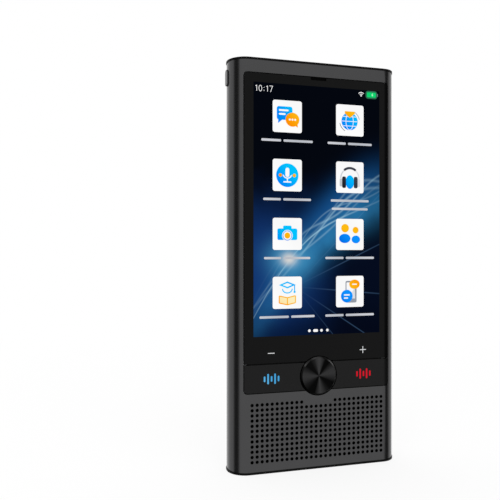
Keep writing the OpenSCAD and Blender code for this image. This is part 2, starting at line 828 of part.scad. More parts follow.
// The left voice key; the right one is its mirror image
module voice_key() {
    difference() {
        union() {
            intersection() {
                prism(0, strip_bottom, keys_z1);
                difference() {
                    pane(opening_w - 2 * key_gap, strip_bottom + key_gap, glass_z1,
                        opening_r - key_gap, front_y - OVER, flange_y);
                    block(-body_w, body_w, front_y - 2 * OVER, flange_y + OVER, keys_z1, body_h);
                    block(0, body_w, front_y - 2 * OVER, flange_y + OVER, 0, body_h);
                }
            }
            block(flange_side - opening_w / 2, 0, flange_y, flange_back,
                strip_bottom - flange_reach, keys_z1 + flange_reach);
            drum(-mark_x, key_z, voice_stem_d / 2, flange_y, stem_tip);
        }
        drum(0, round_z, ring_hole_r, front_y - OVER, stem_tip);
        drum(0, round_z, round_relief_r, round_relief_y, stem_tip);
        wave_bars(-mark_x, front_y - OVER, front_y + mark_depth);
    }
}

module left_voice_key() {
    color("#232325")
        voice_key();
}

module right_voice_key() {
    color("#232325")
        mirror([1, 0, 0])
            voice_key();
}

module left_wave_mark() {
    color("#2f9cf0")
        wave_bars(-mark_x, front_y, front_y + mark_depth);
}

module right_wave_mark() {
    color("#e01f38")
        wave_bars(mark_x, front_y, front_y + mark_depth);
}

// Spun metal disc with a bevelled rim
module round_key_disc() {
    color("#2c2c2e")
        translate([0, front_y - round_proud + round_disc_t, round_z])
            rotate([90, 0, 0])
                rotate_extrude($fn = ROUND)
                    polygon([[0, 0], [round_r, 0], [round_r, round_disc_t - round_bevel_t],
                        [round_r - round_bevel_w, round_disc_t], [0, round_disc_t]]);
}

// Plastic carrier: neck through the ring gap, flange behind it and a guided stem
module round_key_carrier() {
    disc_back = front_y - round_proud + round_disc_t;
    color(BLACK)
    union() {
        drum(0, round_z, round_r - round_neck_step, disc_back, flange_y);
        drum(0, round_z, round_flange_r, flange_y, flange_back);
        drum(0, round_z, round_stem_d / 2, flange_back, stem_tip);
    }
}

module power_key() {
    color("#3c3c3e")
    union() {
        power_pill(0, -body_w / 2 - power_proud, power_flange_x);
        power_pill(power_flange_reach, power_flange_x, power_flange_back);
        translate([power_flange_back, power_y, power_z])
            rotate([0, 90, 0])
                cylinder(d = power_nub_d, h = power_nub_l, $fn = HOLE_ROUND);
    }
}

module board_holes(spots, y0, y1) {
    for (s = spots)
        drum(s[0], s[1], screw_r + 2 * screw_play, y0 - OVER, y1 + OVER, HOLE_ROUND);
}

module key_board() {
    color(BOARD)
    difference() {
        block(-key_board_w / 2, key_board_w / 2, key_board_y, key_board_back,
            key_board_z0, key_board_z1);
        board_holes(KEY_SCREWS, key_board_y, key_board_back);
    }
}

// A sprung metal dome that a stem presses
module dome_switch(x, z) {
    translate([x, key_board_y, z])
        rotate([90, 0, 0])
            rotate_extrude($fn = ROUND)
                polygon(concat([[0, 0]], [for (i = [0:DOME_STEPS]) let (a = 90 * i / DOME_STEPS)
                    [i < DOME_STEPS ? dome_d / 2 * cos(a) : 0, dome_h * sin(a)]]));
}

module dome_switches() {
    color(STEEL) {
        dome_switch(-mark_x, key_z);
        dome_switch(0, round_z);
        dome_switch(mark_x, key_z);
    }
}

// Right-angle switch on the main board's edge, behind the power key
module side_switch() {
    x = side_switch_x + plunger_l;
    color(STEEL)
    union() {
        block(x, x + side_switch_w, main_board_back, main_board_back + side_switch_t,
            power_z - side_switch_l / 2, power_z + side_switch_l / 2);
        block(side_switch_x, x, power_y - plunger_t / 2, power_y + plunger_t / 2,
            power_z - plunger_w / 2, power_z + plunger_w / 2);
    }
}

module main_board() {
    color(BOARD)
    difference() {
        block(-main_board_w / 2, main_board_w / 2, main_board_y, main_board_back,
            main_board_z0, main_board_z1);
        board_holes(MAIN_SCREWS, main_board_y, main_board_back);
    }
}

module processor() {
    x = -(can_x0 + can_x1) / 2;
    z = (can_z0 + can_z1) / 2;
    color("#202225")
        block(x - processor_w / 2, x + processor_w / 2, main_board_back,
            main_board_back + processor_t, z - processor_w / 2, z + processor_w / 2);
}

// One sheet can on each side of the cameras, open towards the board
module shield_cans() {
    color(STEEL)
        for (x = [-can_x1, can_x0])
            difference() {
                block(x, x + can_x1 - can_x0, main_board_back, main_board_back + can_t,
                    can_z0, can_z1);
                block(x + can_sheet, x + can_x1 - can_x0 - can_sheet, main_board_back - OVER,
                    main_board_back + can_t - can_sheet, can_z0 + can_sheet, can_z1 - can_sheet);
            }
}

module battery() {
    color("#9aa0a8")
        layer(chassis_back, chassis_back + battery_t)
            polygon(rounded(battery_w, battery_z0, battery_z1, battery_r));
}

// Box with two driver seats opening to the front
module loudspeaker_box() {
    color("#262628")
    difference() {
        block(-speaker_w / 2, speaker_w / 2, speaker_y, speaker_back, speaker_z0, speaker_z1);
        for (side = [-1, 1])
            drum(side * driver_x, driver_z, driver_r + driver_space, speaker_y - OVER,
                driver_back);
    }
}

// Two drivers, each a basket with a shallow cone and a dust cap in front
module loudspeaker_driver() {
    depth = driver_back - speaker_y;
    cone_r = driver_r - 2 * driver_rim;
    color("#3a3a3d")
        for (side = [-1, 1])
            translate([side * driver_x, driver_back, driver_z])
                rotate([90, 0, 0])
                    rotate_extrude($fn = ROUND)
                        polygon([[0, 0], [driver_r, 0], [driver_r, depth],
                            [driver_r - driver_rim, depth], [cone_r, depth - CONE_EDGE],
                            [dust_cap_d / 2, depth - CONE_FOOT], [0, depth - CONE_CAP]]);
}

module speaker_mesh() {
    color("#0c0c0c")
        block(-mesh_w / 2, mesh_w / 2, wall_back, wall_back + mesh_t, mesh_z0, mesh_z1);
}

module speaker_foam() {
    color("#1a1a1a")
    difference() {
        block(-speaker_w / 2, speaker_w / 2, wall_back + mesh_t, speaker_y, speaker_z0, mesh_z1);
        block(-speaker_w / 2 + foam_w, speaker_w / 2 - foam_w, wall_back, speaker_y + OVER,
            speaker_z0 + foam_w / 2, mesh_z1 - foam_w / 2);
    }
}

module earpiece() {
    color("#2b2b2e")
        block(-earpiece_w / 2, earpiece_w / 2, wall_back + SINK, chassis_back - SINK,
            panel_z1 + board_space, chassis_z1 - cap_space);
}

module earpiece_mesh() {
    color("#0e0e0e")
        block(-ear_notch_w / 2 + fit, ear_notch_w / 2 - fit, front_y + ear_mesh_sunk, glass_back,
            glass_z1 - glass_gap - ear_notch_h + fit, glass_z1 - fit);
}

module port_board() {
    color(BOARD)
    difference() {
        block(-port_board_w / 2, port_board_w / 2, port_board_y, port_board_back,
            port_board_z0, port_board_z1);
        board_holes(PORT_SCREWS, port_board_y, port_board_back);
    }
}

module port_oval(inset) {
    translate([0, port_y])
        polygon(rounded(port_w - 2 * inset, inset - port_t / 2, port_t / 2 - inset,
            port_r - inset));
}

// Oval shell with a tongue inside, mouth at the bottom
module charging_port() {
    color(STEEL)
    translate([0, 0, port_sunk])
    union() {
        difference() {
            linear_extrude(port_l)
                port_oval(0);
            translate([0, 0, -OVER])
                linear_extrude(port_l + OVER - 2 * port_sheet)
                    port_oval(port_sheet);
        }
        block(-tongue_w / 2, tongue_w / 2, port_y - tongue_t / 2, port_y + tongue_t / 2,
            2 * port_sheet, port_l - port_sheet);
    }
}

// What lies behind a microphone hole, against the right side wall
module mic_block(x0, x1, w, below, above) {
    x = inner_w / 2 - mic_space;
    block(x - x1, x - x0, middle_y - w / 2, middle_y + w / 2, body_h - below, body_h - above);
}

module microphones() {
    color("#c9b46a")
        for (drop = [mic_upper_top, mic_lower_top])
            mic_block(0, mic_t, mic_w, drop + mic_l / 2, drop - mic_l / 2);
}

module microphone_flex() {
    color("#b5722a")
        mic_block(mic_t, mic_t + flex_t, mic_flex_w, mic_lower_top + mic_flex_end,
            mic_upper_top - mic_flex_end);
}

module vibration_motor() {
    color(STEEL)
        drum(motor_x, (port_board_z0 + port_board_z1) / 2, motor_d / 2, port_board_back,
            port_board_back + motor_t);
}

// Ribbon from the port board up to the main board, along the battery's side
module board_flex() {
    color("#b5722a")
        block(ribbon_x - flex_t, ribbon_x, port_board_back, port_board_back + ribbon_w,
            port_board_z1 - port_screw_end, main_board_z0 + board_space);
}

// Film under the rear window, beside the cameras
module antenna() {
    color("#b5722a")
    intersection() {
        difference() {
            prism(window_t + fit, window_z0, lip_z1);
            prism(window_t + fit + antenna_t, 0, body_h);
        }
        block(cover_w / 2 + cover_flange_reach + antenna_space,
            window_w / 2 - window_ledge - antenna_space, 0, back_y,
            window_z0 + window_ledge + antenna_space, lip_z1 - antenna_space);
    }
}

// Plastic window across the top of the back, which the radio signals pass
module rear_window() {
    color("#202022")
    difference() {
        intersection() {
            prism(0, window_z0, sleeve_z1);
            window_shape(fit, widest_y + OVER, back_y + OVER, body_h);
        }
        prism(window_t, 0, body_h);
        pane(cover_w + 2 * fit, cover_z - cover_h / 2 - fit, cover_z + cover_h / 2 + fit,
            cover_r + fit, widest_y, back_y + OVER);
    }
}

module camera_cover() {
    color("#050506")
    difference() {
        union() {
            pane(cover_w, cover_z - cover_h / 2, cover_z + cover_h / 2, cover_r,
                cover_seat, cover_face);
            pane(cover_w + 2 * cover_flange_reach, cover_z - cover_h / 2 - cover_flange_reach,
                cover_z + cover_h / 2 + cover_flange_reach, cover_r,
                cover_flange_back, cover_seat);
        }
        for (z = CAMERA_Z) {
            drum(0, z, ring_r + ring_fit, cover_seat, cover_face + OVER);
            drum(0, z, aperture_r, cover_seat - OVER, cover_seat + OVER / 2);
        }
        drum(0, cover_z, flash_r + ring_fit, cover_seat - OVER, cover_face + OVER);
    }
}

// Machined ring standing round one camera
module camera_ring(z) {
    bore_r = lens_r + ring_fit;
    height = cover_face + ring_proud - cover_seat;
    color("#3a3a3c")
        translate([0, cover_seat, z])
            rotate([-90, 0, 0])
                rotate_extrude($fn = ROUND)
                    polygon([[bore_r, 0], [ring_r, 0], [ring_r, height - ring_bevel],
                        [ring_r - ring_bevel, height], [bore_r + ring_slope, height],
                        [bore_r, height - ring_slope]]);
}

module upper_camera_ring() {
    camera_ring(CAMERA_Z[1]);
}

module lower_camera_ring() {
    camera_ring(CAMERA_Z[0]);
}

module camera_lens(z) {
    color("#12161c")
        drum(0, z, lens_r, cover_seat, lens_face);
}

module upper_camera_lens() {
    camera_lens(CAMERA_Z[1]);
}

module lower_camera_lens() {
    camera_lens(CAMERA_Z[0]);
}

// Camera module: square body with a round barrel that ends in a stepped mouth
module camera_module(z) {
    color("#1b1c20")
    difference() {
        union() {
            block(-camera_w / 2, camera_w / 2, main_board_back + fit, bracket_back,
                z - camera_w / 2, z + camera_w / 2);
            drum(0, z, barrel_r, bracket_back, cover_seat - fit);
        }
        drum(0, z, barrel_r - barrel_wall, cover_seat - barrel_wall, cover_seat + OVER);
        drum(0, z, barrel_r - 3 * barrel_wall, cover_seat - 3 * barrel_wall, cover_seat);
    }
}

module upper_camera() {
    camera_module(CAMERA_Z[1]);
}

module lower_camera() {
    camera_module(CAMERA_Z[0]);
}

// Holder on the main board for both cameras and the flash
module camera_bracket() {
    half = camera_w / 2 + fit;
    color("#2a2b2e")
    difference() {
        block(-bracket_w / 2, bracket_w / 2, main_board_back, bracket_back,
            bracket_z0, bracket_z1);
        for (z = CAMERA_Z)
            block(-half, half, main_board_back - OVER, bracket_back + OVER, z - half, z + half);
    }
}

module flash_window() {
    color("#e9e4b0")
        drum(0, cover_z, flash_r, cover_flange_back, cover_face);
}

module flash_led() {
    color("#f0d860")
        block(-led_w / 2, led_w / 2, bracket_back, bracket_back + led_t,
            cover_z - led_w / 2, cover_z + led_w / 2);
}

module screws(spots, y) {
    for (s = spots) {
        drum(s[0], s[1], screw_r, y - screw_l, y, HOLE_ROUND);
        drum(s[0], s[1], screw_head_d / 2, y, y + screw_head_t, HOLE_ROUND);
    }
}

module board_screws() {
    color(STEEL)
    union() {
        screws(MAIN_SCREWS, main_board_back);
        screws(PORT_SCREWS, port_board_back);
        screws(KEY_SCREWS, key_board_back);
    }
}

housing_sleeve();
top_cap();
bottom_cap();
front_glass();
glass_bond();
display_panel();
chassis();
left_voice_key();
right_voice_key();
left_wave_mark();
right_wave_mark();
round_key_disc();
round_key_carrier();
power_key();
key_board();
dome_switches();
side_switch();
main_board();
processor();
shield_cans();
battery();
loudspeaker_box();
loudspeaker_driver();
speaker_mesh();
speaker_foam();
earpiece();
earpiece_mesh();
port_board();
charging_port();
microphones();
microphone_flex();
vibration_motor();
board_flex();
antenna();
rear_window();
camera_cover();
upper_camera_ring();
lower_camera_ring();
upper_camera_lens();
lower_camera_lens();
upper_camera();
lower_camera();
camera_bracket();
flash_window();
flash_led();
board_screws();
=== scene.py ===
"""Looks of a handheld translator.

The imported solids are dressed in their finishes. The picture on the display and the marks printed
on the cover glass are thin sheets of ink that lie on the glass, and a pale studio stands around
the object.
"""

from __future__ import annotations

import json
import logging
import math
from collections import defaultdict
from dataclasses import dataclass
from enum import Enum
from typing import Callable, Iterable, Sequence

import bmesh
import bpy
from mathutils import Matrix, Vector

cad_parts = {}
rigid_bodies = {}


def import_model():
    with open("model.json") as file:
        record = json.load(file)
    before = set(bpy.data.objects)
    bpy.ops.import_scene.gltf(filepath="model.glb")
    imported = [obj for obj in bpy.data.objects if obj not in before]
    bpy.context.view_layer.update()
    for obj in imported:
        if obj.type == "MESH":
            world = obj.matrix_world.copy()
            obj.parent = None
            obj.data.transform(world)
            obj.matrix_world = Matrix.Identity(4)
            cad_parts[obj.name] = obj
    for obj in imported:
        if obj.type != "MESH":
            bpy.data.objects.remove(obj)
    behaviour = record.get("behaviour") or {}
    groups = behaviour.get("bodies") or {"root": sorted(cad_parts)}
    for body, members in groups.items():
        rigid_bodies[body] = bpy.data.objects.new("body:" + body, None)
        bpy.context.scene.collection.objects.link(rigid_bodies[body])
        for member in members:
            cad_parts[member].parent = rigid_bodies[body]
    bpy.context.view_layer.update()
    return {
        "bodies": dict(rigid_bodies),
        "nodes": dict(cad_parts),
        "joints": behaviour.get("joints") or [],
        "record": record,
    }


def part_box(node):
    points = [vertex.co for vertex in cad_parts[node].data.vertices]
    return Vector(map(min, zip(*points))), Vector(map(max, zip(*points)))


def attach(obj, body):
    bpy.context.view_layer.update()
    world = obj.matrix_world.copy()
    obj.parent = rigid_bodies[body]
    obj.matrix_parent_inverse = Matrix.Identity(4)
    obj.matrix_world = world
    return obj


MM = 0.001
# The thickness of one layer of ink
INK_LAYER = 0.01 * MM
# Edges of a solid that turn more than this stay sharp
SHARP_TURN = math.radians(28)
# Where a band ends that goes all but closed round, in degrees
FULL_RING = 359.9
LOG = logging.getLogger("translator")

Colour = tuple[float, float, float]
Point = tuple[float, float]
Outline = list[Point]
Mesh = bmesh.types.BMesh

NO_LIGHT: Colour = (0.0, 0.0, 0.0)
WHITE_LIGHT: Colour = (1.0, 1.0, 1.0)


def srgb(red: int, green: int, blue: int) -> Colour:
    """Gives the linear colour of an 8-bit screen colour.

    Args:
        red: Red, 0 to 255.
        green: Green, 0 to 255.
        blue: Blue, 0 to 255.

    Returns:
        The linear red, green and blue.
    """

    def linear(level: int) -> float:
        """Gives the linear share of one level."""
        share = level / 255
        return share / 12.92 if share <= 0.04045 else ((share + 0.055) / 1.055) ** 2.4

    return linear(red), linear(green), linear(blue)


def scaled(colour: Colour, factor: float) -> Colour:
    """Gives a colour that is brighter or darker by a factor."""
    return tuple(part * factor for part in colour)


# --- shader maths


def operator(operation: str, reflected: bool = False) -> Callable[[Wire, Value], Wire]:
    """Gives an operator for wires.

    Args:
        operation: The Math node that it adds.
        reflected: Whether the other value comes first.

    Returns:
        The operator.
    """

    def apply(wire: Wire, other: Value) -> Wire:
        """Adds the node."""
        values = (other, wire) if reflected else (wire, other)
        return wire.sheet.math(operation, *values)

    return apply


class Wire:
    """A socket's value. Python's operators on it add Math nodes."""

    def __init__(self, sheet: NodeSheet, socket: bpy.types.NodeSocket) -> None:
        """Keeps the socket and the sheet it is on."""
        self.sheet = sheet
        self.socket = socket

    __add__ = __radd__ = operator("ADD")
    __mul__ = __rmul__ = operator("MULTIPLY")
    __sub__ = operator("SUBTRACT")
    __rsub__ = operator("SUBTRACT", reflected=True)
    __truediv__ = operator("DIVIDE")
    __pow__ = operator("POWER")
    __rpow__ = operator("POWER", reflected=True)

    def __abs__(self) -> Wire:
        """Drops the sign."""
        return self.sheet.math("ABSOLUTE", self)

    def clamped(self) -> Wire:
        """Holds the value between 0 and 1."""
        wire = self.sheet.math("ADD", self, 0.0)
        wire.socket.node.use_clamp = True
        return wire

    def step(self, low: float, high: float) -> Wire:
        """Rises smoothly from 0 at low to 1 at high.

        Args:
            low: The value where it starts to rise.
            high: The value where it ends.

        Returns:
            The smoothed step.
        """
        return self.sheet.node(
            "ShaderNodeMapRange",
            {"interpolation_type": "SMOOTHSTEP"},
            {"Value": self, "From Min": low, "From Max": high},
        ).wire("Result")

    def bell(self, centre: Value, width: float) -> Wire:
        """Gives a bell curve: 1 where the value is the centre, about a third a width away."""
        off = (self - centre) * (1 / width)
        return math.e ** (off * off * -1.0)


Value = Wire | float


def distance(across: Wire, up: Wire) -> Wire:
    """Gives how far from the middle a point is that lies so far across and up."""
    return (across * across + up * up) ** 0.5


class Made:
    """A node that has been made, and its outputs as wires."""

    def __init__(self, sheet: NodeSheet, node: bpy.types.Node) -> None:
        """Keeps the node and its sheet."""
        self.sheet = sheet
        self.node = node

    def wire(self, output: str | int = 0) -> Wire:
        """Gives one output by its name or number."""
        return Wire(self.sheet, self.node.outputs[output])


class NodeSheet:
    """A node tree to which nodes are added by one method."""

    def __init__(self, tree: bpy.types.NodeTree) -> None:
        """Clears the tree and keeps it."""
        self.tree = tree
        tree.nodes.clear()

    def node(
        self,
        kind: str,
        settings: dict[str, object] | None = None,
        inputs: dict[str | int, object] | None = None,
    ) -> Made:
        """Adds one node.

        Args:
            kind: The node's type.
            settings: Its settings, set first; "stops" sets a ramp's stops.
            inputs: Values or wires for its inputs, by name or number.

        Returns:
            The node.
        """
        node = self.tree.nodes.new(kind)
        for name, value in (settings or {}).items():
            if name == "stops":
                self._set_stops(node.color_ramp, value)
            else:
                setattr(node, name, value)
        for name, value in (inputs or {}).items():
            socket = node.inputs[name]
            if isinstance(value, Wire):
                self.tree.links.new(value.socket, socket)
            elif isinstance(value, tuple) and len(value) == 3 and socket.type == "RGBA":
                socket.default_value = (*value, 1.0)
            else:
                socket.default_value = value
        return Made(self, node)

    @staticmethod
    def _set_stops(ramp: bpy.types.ColorRamp, stops: Sequence[tuple[float, Colour]]) -> None:
        """Gives a ramp its stops.

        Args:
            ramp: The ramp.
            stops: Each stop's place, from 0 to 1, and its colour.
        """
        while len(ramp.elements) < len(stops):
            ramp.elements.new(0.5)
        for element, (place, colour) in zip(ramp.elements, stops):
            element.position = place
            element.color = (*colour, 1.0)

    def math(self, operation: str, *values: Value) -> Wire:
        """Adds a Math node."""
        inputs = dict(enumerate(values))
        return self.node("ShaderNodeMath", {"operation": operation}, inputs).wire()

    def mix(self, share: Value, first: Wire | Colour, second: Wire | Colour) -> Wire:
        """Mixes two colours, with this share, 0 to 1, of the second."""
        inputs = {0: share, 6: first, 7: second}
        return self.node("ShaderNodeMix", {"data_type": "RGBA"}, inputs).wire(2)

    def point(self) -> Wire:
        """Gives a point's place on the object, in metres."""
        return self.node("ShaderNodeTexCoord").wire("Object")

    def axes(self, vector: Wire) -> tuple[Wire, Wire, Wire]:
        """Splits a point or a direction into X, Y and Z."""
        parts = self.node("ShaderNodeSeparateXYZ", None, {0: vector})
        return parts.wire("X"), parts.wire("Y"), parts.wire("Z")

    def noise(self, point: Wire, size: float, detail: float = 3.0) -> Wire:
        """Gives noise from 0 to 1, with grains of a size in metres and some finer layers."""
        inputs = {"Vector": point, "Scale": 1 / size, "Detail": detail}
        return self.node("ShaderNodeTexNoise", None, inputs).wire()

    def bump(self, height: Wire, depth: float) -> Wire:
        """Bends the normal by a height from 0 to 1, where 1 measures depth metres."""
        return self.node("ShaderNodeBump", None, {"Distance": depth, "Height": height}).wire()

    def principled(self, colour: Wire | Colour, rough: Value, more: dict[str, object]) -> Wire:
        """Adds a Principled shader, whose other inputs are in more, by name."""
        inputs = {"Base Color": colour, "Roughness": rough, **more}
        return self.node("ShaderNodeBsdfPrincipled", None, inputs).wire()


# --- finishes


@dataclass(frozen=True)
class Finish:
    """A finish that can make its material."""

    name: str

    def material(self) -> bpy.types.Material:
        """Makes the material once and gives the same one after that."""
        label = f"finish_{self.name}"
        found = bpy.data.materials.get(label)
        if found is not None:
            return found
        material = bpy.data.materials.new(label)
        material.use_nodes = True
        sheet = NodeSheet(material.node_tree)
        surface = self.surface(sheet)
        sheet.node("ShaderNodeOutputMaterial", None, {"Surface": surface})
        return material

    def surface(self, sheet: NodeSheet) -> Wire:
        """Makes the surface shader."""
        raise NotImplementedError


@dataclass(frozen=True)
class Satin(Finish):
    """A metal or moulded surface: a fine even grain, and patches in which its tone drifts."""

    colour: Colour
    metallic: float
    roughness: float
    specular: float
    grain: float = 0.12 * MM
    relief: float = 0.004 * MM
    drift: float = 0.06
    patch: float = 9 * MM

    def surface(self, sheet: NodeSheet) -> Wire:
        """Makes a grained surface whose tone drifts a little."""
        point = sheet.point()
        grain = sheet.noise(point, self.grain)
        cloud = sheet.noise(point, self.patch, 2.0)
        dark, light = scaled(self.colour, 1 - self.drift), scaled(self.colour, 1 + self.drift)
        tone = sheet.mix(cloud * 0.7 + grain * 0.3, dark, light)
        rough = (cloud - 0.5) * 0.06 + (grain - 0.5) * 0.05 + self.roughness
        more = {
            "Metallic": self.metallic,
            "Specular IOR Level": self.specular,
            "Normal": sheet.bump(grain, self.relief),
        }
        return sheet.principled(tone, rough, more)


# The spun face's painted sheen for a turn from 0, the left, round through the foot to 1
PAINTED_SPUN_SHEEN = [
    (0.0, 0.72), (0.035, 0.58), (0.085, 0.20), (0.14, 0.03), (0.205, 0.02),
    (0.24, 0.50), (0.262, 0.92), (0.295, 0.55), (0.33, 0.18), (0.37, 0.04),
    (0.43, 0.03), (0.475, 0.42), (0.52, 0.72), (0.565, 0.70), (0.605, 0.30),
    (0.64, 0.03), (0.685, 0.03), (0.712, 0.55), (0.745, 1.0), (0.775, 0.74),
    (0.80, 0.30), (0.84, 0.06), (0.895, 0.05), (0.94, 0.36), (0.97, 0.64), (1.0, 0.72),
]
# The bevel's painted shade and highlights for that turn: black at the lower left, thin lights above
PAINTED_BEVEL_LIGHT = [
    (0.0, 0.006), (0.05, 0.001), (0.33, 0.001), (0.42, 0.008), (0.5, 0.022),
    (0.575, 0.026), (0.60, 0.13), (0.645, 0.15), (0.665, 0.03), (0.70, 0.008),
    (0.745, 0.035), (0.79, 0.028), (0.83, 0.005), (0.865, 0.016), (0.895, 0.055),
    (0.915, 0.010), (1.0, 0.006),
]


@dataclass(frozen=True)
class SpunMetal(Finish):
    """A disc turned on a lathe: fine rings, and a painted sheen that fans out from its centre.

    Attributes:
        centre_z: The height of the disc's centre.
        face: The radius of the flat face inside the bevel.
        dark: The colour where the painted sheen is lowest, a painted shade.
        bright: The colour where it is highest, a painted highlight.
        ring: The distance between turned rings.
        groove: How deep they are.
        contrast: How much the painted sheen changes from ring to ring.
        blend: Half the width of the soft line between the face and the bevel.
    """

    centre_z: float
    face: float
    dark: Colour = (0.0015, 0.0015, 0.0015)
    bright: Colour = (0.046, 0.046, 0.047)
    ring: float = 0.11 * MM
    groove: float = 0.003 * MM
    contrast: float = 0.5
    blend: float = 0.02 * MM

    @staticmethod
    def ramp(sheet: NodeSheet, turn: Wire, levels: Sequence[tuple[float, float]]) -> Wire:
        """Gives grey levels round the turn."""
        stops = [(place, (level,) * 3) for place, level in levels]
        return sheet.node("ShaderNodeValToRGB", {"stops": stops}, {"Fac": turn}).wire()

    def surface(self, sheet: NodeSheet) -> Wire:
        """Makes the painted light and dark sectors, the turned rings and the bevel's painted light.
        """
        x, _, z = sheet.axes(sheet.point())
        up = z - self.centre_z
        radius = distance(x, up)
        turn = sheet.math("ARCTAN2", up, x) * (1 / math.tau) + 0.5
        rings = sheet.node(
            "ShaderNodeTexNoise",
            {"noise_dimensions": "1D"},
            {"W": radius * (1 / self.ring), "Scale": 1.0, "Detail": 2.0},
        ).wire()
        # The sheen is painted: light and dark sectors drawn into the colour round the centre
        sheen = self.ramp(sheet, turn, PAINTED_SPUN_SHEEN)
        painted_lobe = sheen * (rings * self.contrast + (1 - self.contrast / 2))
        tone = sheet.mix(painted_lobe.clamped(), self.dark, self.bright)
        # The bevel gets painted shade at the lower left and painted highlights above
        bevel = radius.step(self.face - self.blend, self.face + self.blend)
        tone = sheet.mix(bevel, tone, self.ramp(sheet, turn, PAINTED_BEVEL_LIGHT))
        more = {"Metallic": 1.0, "Normal": sheet.bump(rings, self.groove)}
        return sheet.principled(tone, rings * 0.08 + 0.24, more)


@dataclass(frozen=True)
class Gloss(Finish):
    """A polished black surface with faint wipe marks in its gloss."""

    colour: Colour = (0.0015, 0.0015, 0.0016)
    specular: float = 0.095
    roughness: float = 0.05
    wipe: float = 14 * MM

    def surface(self, sheet: NodeSheet) -> Wire:
        """Makes the polished surface."""
        wipe = sheet.noise(sheet.point(), self.wipe)
        tone = sheet.mix(wipe, self.colour, scaled(self.colour, 1.2))
        more = {"Specular IOR Level": self.specular}
        return sheet.principled(tone, wipe * 0.06 + self.roughness, more)


@dataclass(frozen=True)
class Lit(Finish):
    """Light that comes through the glass, and the painted glow of the printed marks."""

    @staticmethod
    def glow(sheet: NodeSheet, colour: Wire) -> Wire:
        """Makes a black surface that shines and adds no gloss to the glass's own."""
        more = {"Specular IOR Level": 0.0, "Emission Color": colour, "Emission Strength": 1.0}
        return sheet.principled(NO_LIGHT, 0.08, more)


@dataclass(frozen=True)
class LitInk(Lit):
    """A lit colour that shades to and fro between two tones, one pitch apart."""

    low: Colour
    high: Colour
    pitch: float = 11.6 * MM
    dot: float = 0.09 * MM

    def surface(self, sheet: NodeSheet) -> Wire:
        """Makes the lit ink, a little darker between the display's dots."""
        point = sheet.point()
        x, _, z = sheet.axes(point)
        share = sheet.math("SINE", (x + z) * (math.pi / self.pitch)) * 0.5 + 0.5
        tone = sheet.mix(share, self.low, self.high)
        dots = sheet.noise(point, self.dot, 1.0)
        return self.glow(sheet, sheet.mix(dots * 0.03, tone, NO_LIGHT))


@dataclass(frozen=True)
class Area:
    """The picture's area on the glass, in metres."""

    left: float
    right: float
    bottom: float
    top: float


@dataclass(frozen=True)
class NightPicture(Lit):
    """The display's background: drifting bands of blue light over a night sky.

    Attributes:
        area: The picture's area.
        ribbons: How strongly each ribbon of light shows.
        rays: How many fine rays there are.
    """

    area: Area
    ribbons: tuple[float, ...] = (0.62, 0.26, 0.40, 0.22, 0.34, 0.20)
    rays: int = 5

    def sky(self, sheet: NodeSheet, point: Wire, across: Wire, up: Wire) -> Wire:
        """Gives the night sky, which is blue low on the left and nearly black above.

        Args:
            sheet: The material's nodes.
            point: A place on the glass.
            across: How far across the picture it is, from 0 to 1.
            up: How far up it is.

        Returns:
            The sky's colour there.
        """
        drift = (sheet.noise(point, 16 * MM, 4.0) - 0.5) * 0.16
        high = (up + drift).step(0.30, 0.68)
        low = sheet.mix((across + drift).step(0.15, 0.75), srgb(18, 52, 110), srgb(5, 12, 30))
        foot = (1 - (up + drift * 0.5).step(0.0, 0.17)) * 0.75
        return sheet.mix(high, sheet.mix(foot, low, srgb(4, 8, 22)), srgb(4, 7, 15))

    @staticmethod
    def lay(under: Wire, light: Wire, colour: Colour) -> Wire:
        """Lays light over a colour."""
        return under.sheet.mix(light.clamped(), under, colour)

    def surface(self, sheet: NodeSheet) -> Wire:
        """Makes the background picture as a lit surface."""
        point = sheet.point()
        x, _, z = sheet.axes(point)
        across = (x - self.area.left) * (1 / (self.area.right - self.area.left))
        up = (z - self.area.bottom) * (1 / (self.area.top - self.area.bottom))
        crest = across * 0.80 - across * across * 0.30 + 0.11
        mist = sheet.noise(point, 7 * MM, 5.0) * 0.7 + 0.5
        lower = up.bell(crest - 0.065, 0.085) * across.bell(0.62, 0.50) * mist * 0.95
        upper = up.bell(crest + 0.03, 0.085) * across.bell(0.66, 0.42) * 0.6
        colour = self.lay(self.sky(sheet, point, across, up), lower, srgb(46, 128, 180))
        colour = self.lay(colour, upper, srgb(22, 84, 150))
        for number, strength in enumerate(self.ribbons):
            sway = sheet.math("SINE", across * (5.0 + 0.9 * number) + 1.3 * number) * 0.030
            line = up.bell(crest + sway + 0.012 * (number - 3), 0.0035 + 0.0012 * (number % 3))
            ribbon = line * across.bell(0.42 + 0.07 * number, 0.42) * strength
            colour = self.lay(colour, ribbon, srgb(168, 214, 232))
        for number in range(self.rays):
            slope = 0.55 - 0.30 * number
            line = up.bell(across * slope + (0.02 + 0.095 * number), 0.0022)
            ray = line * across.bell(0.78, 0.30) * 0.22
            colour = self.lay(colour, ray, srgb(96, 140, 190))
        halo = across.bell(0.27, 0.15) * up.bell(0.31, 0.070) * 0.72
        spark = across.bell(0.27, 0.055) * up.bell(0.305, 0.024) * 0.86
        colour = self.lay(colour, halo, srgb(76, 164, 206))
        return self.glow(sheet, self.lay(colour, spark, srgb(226, 220, 212)))


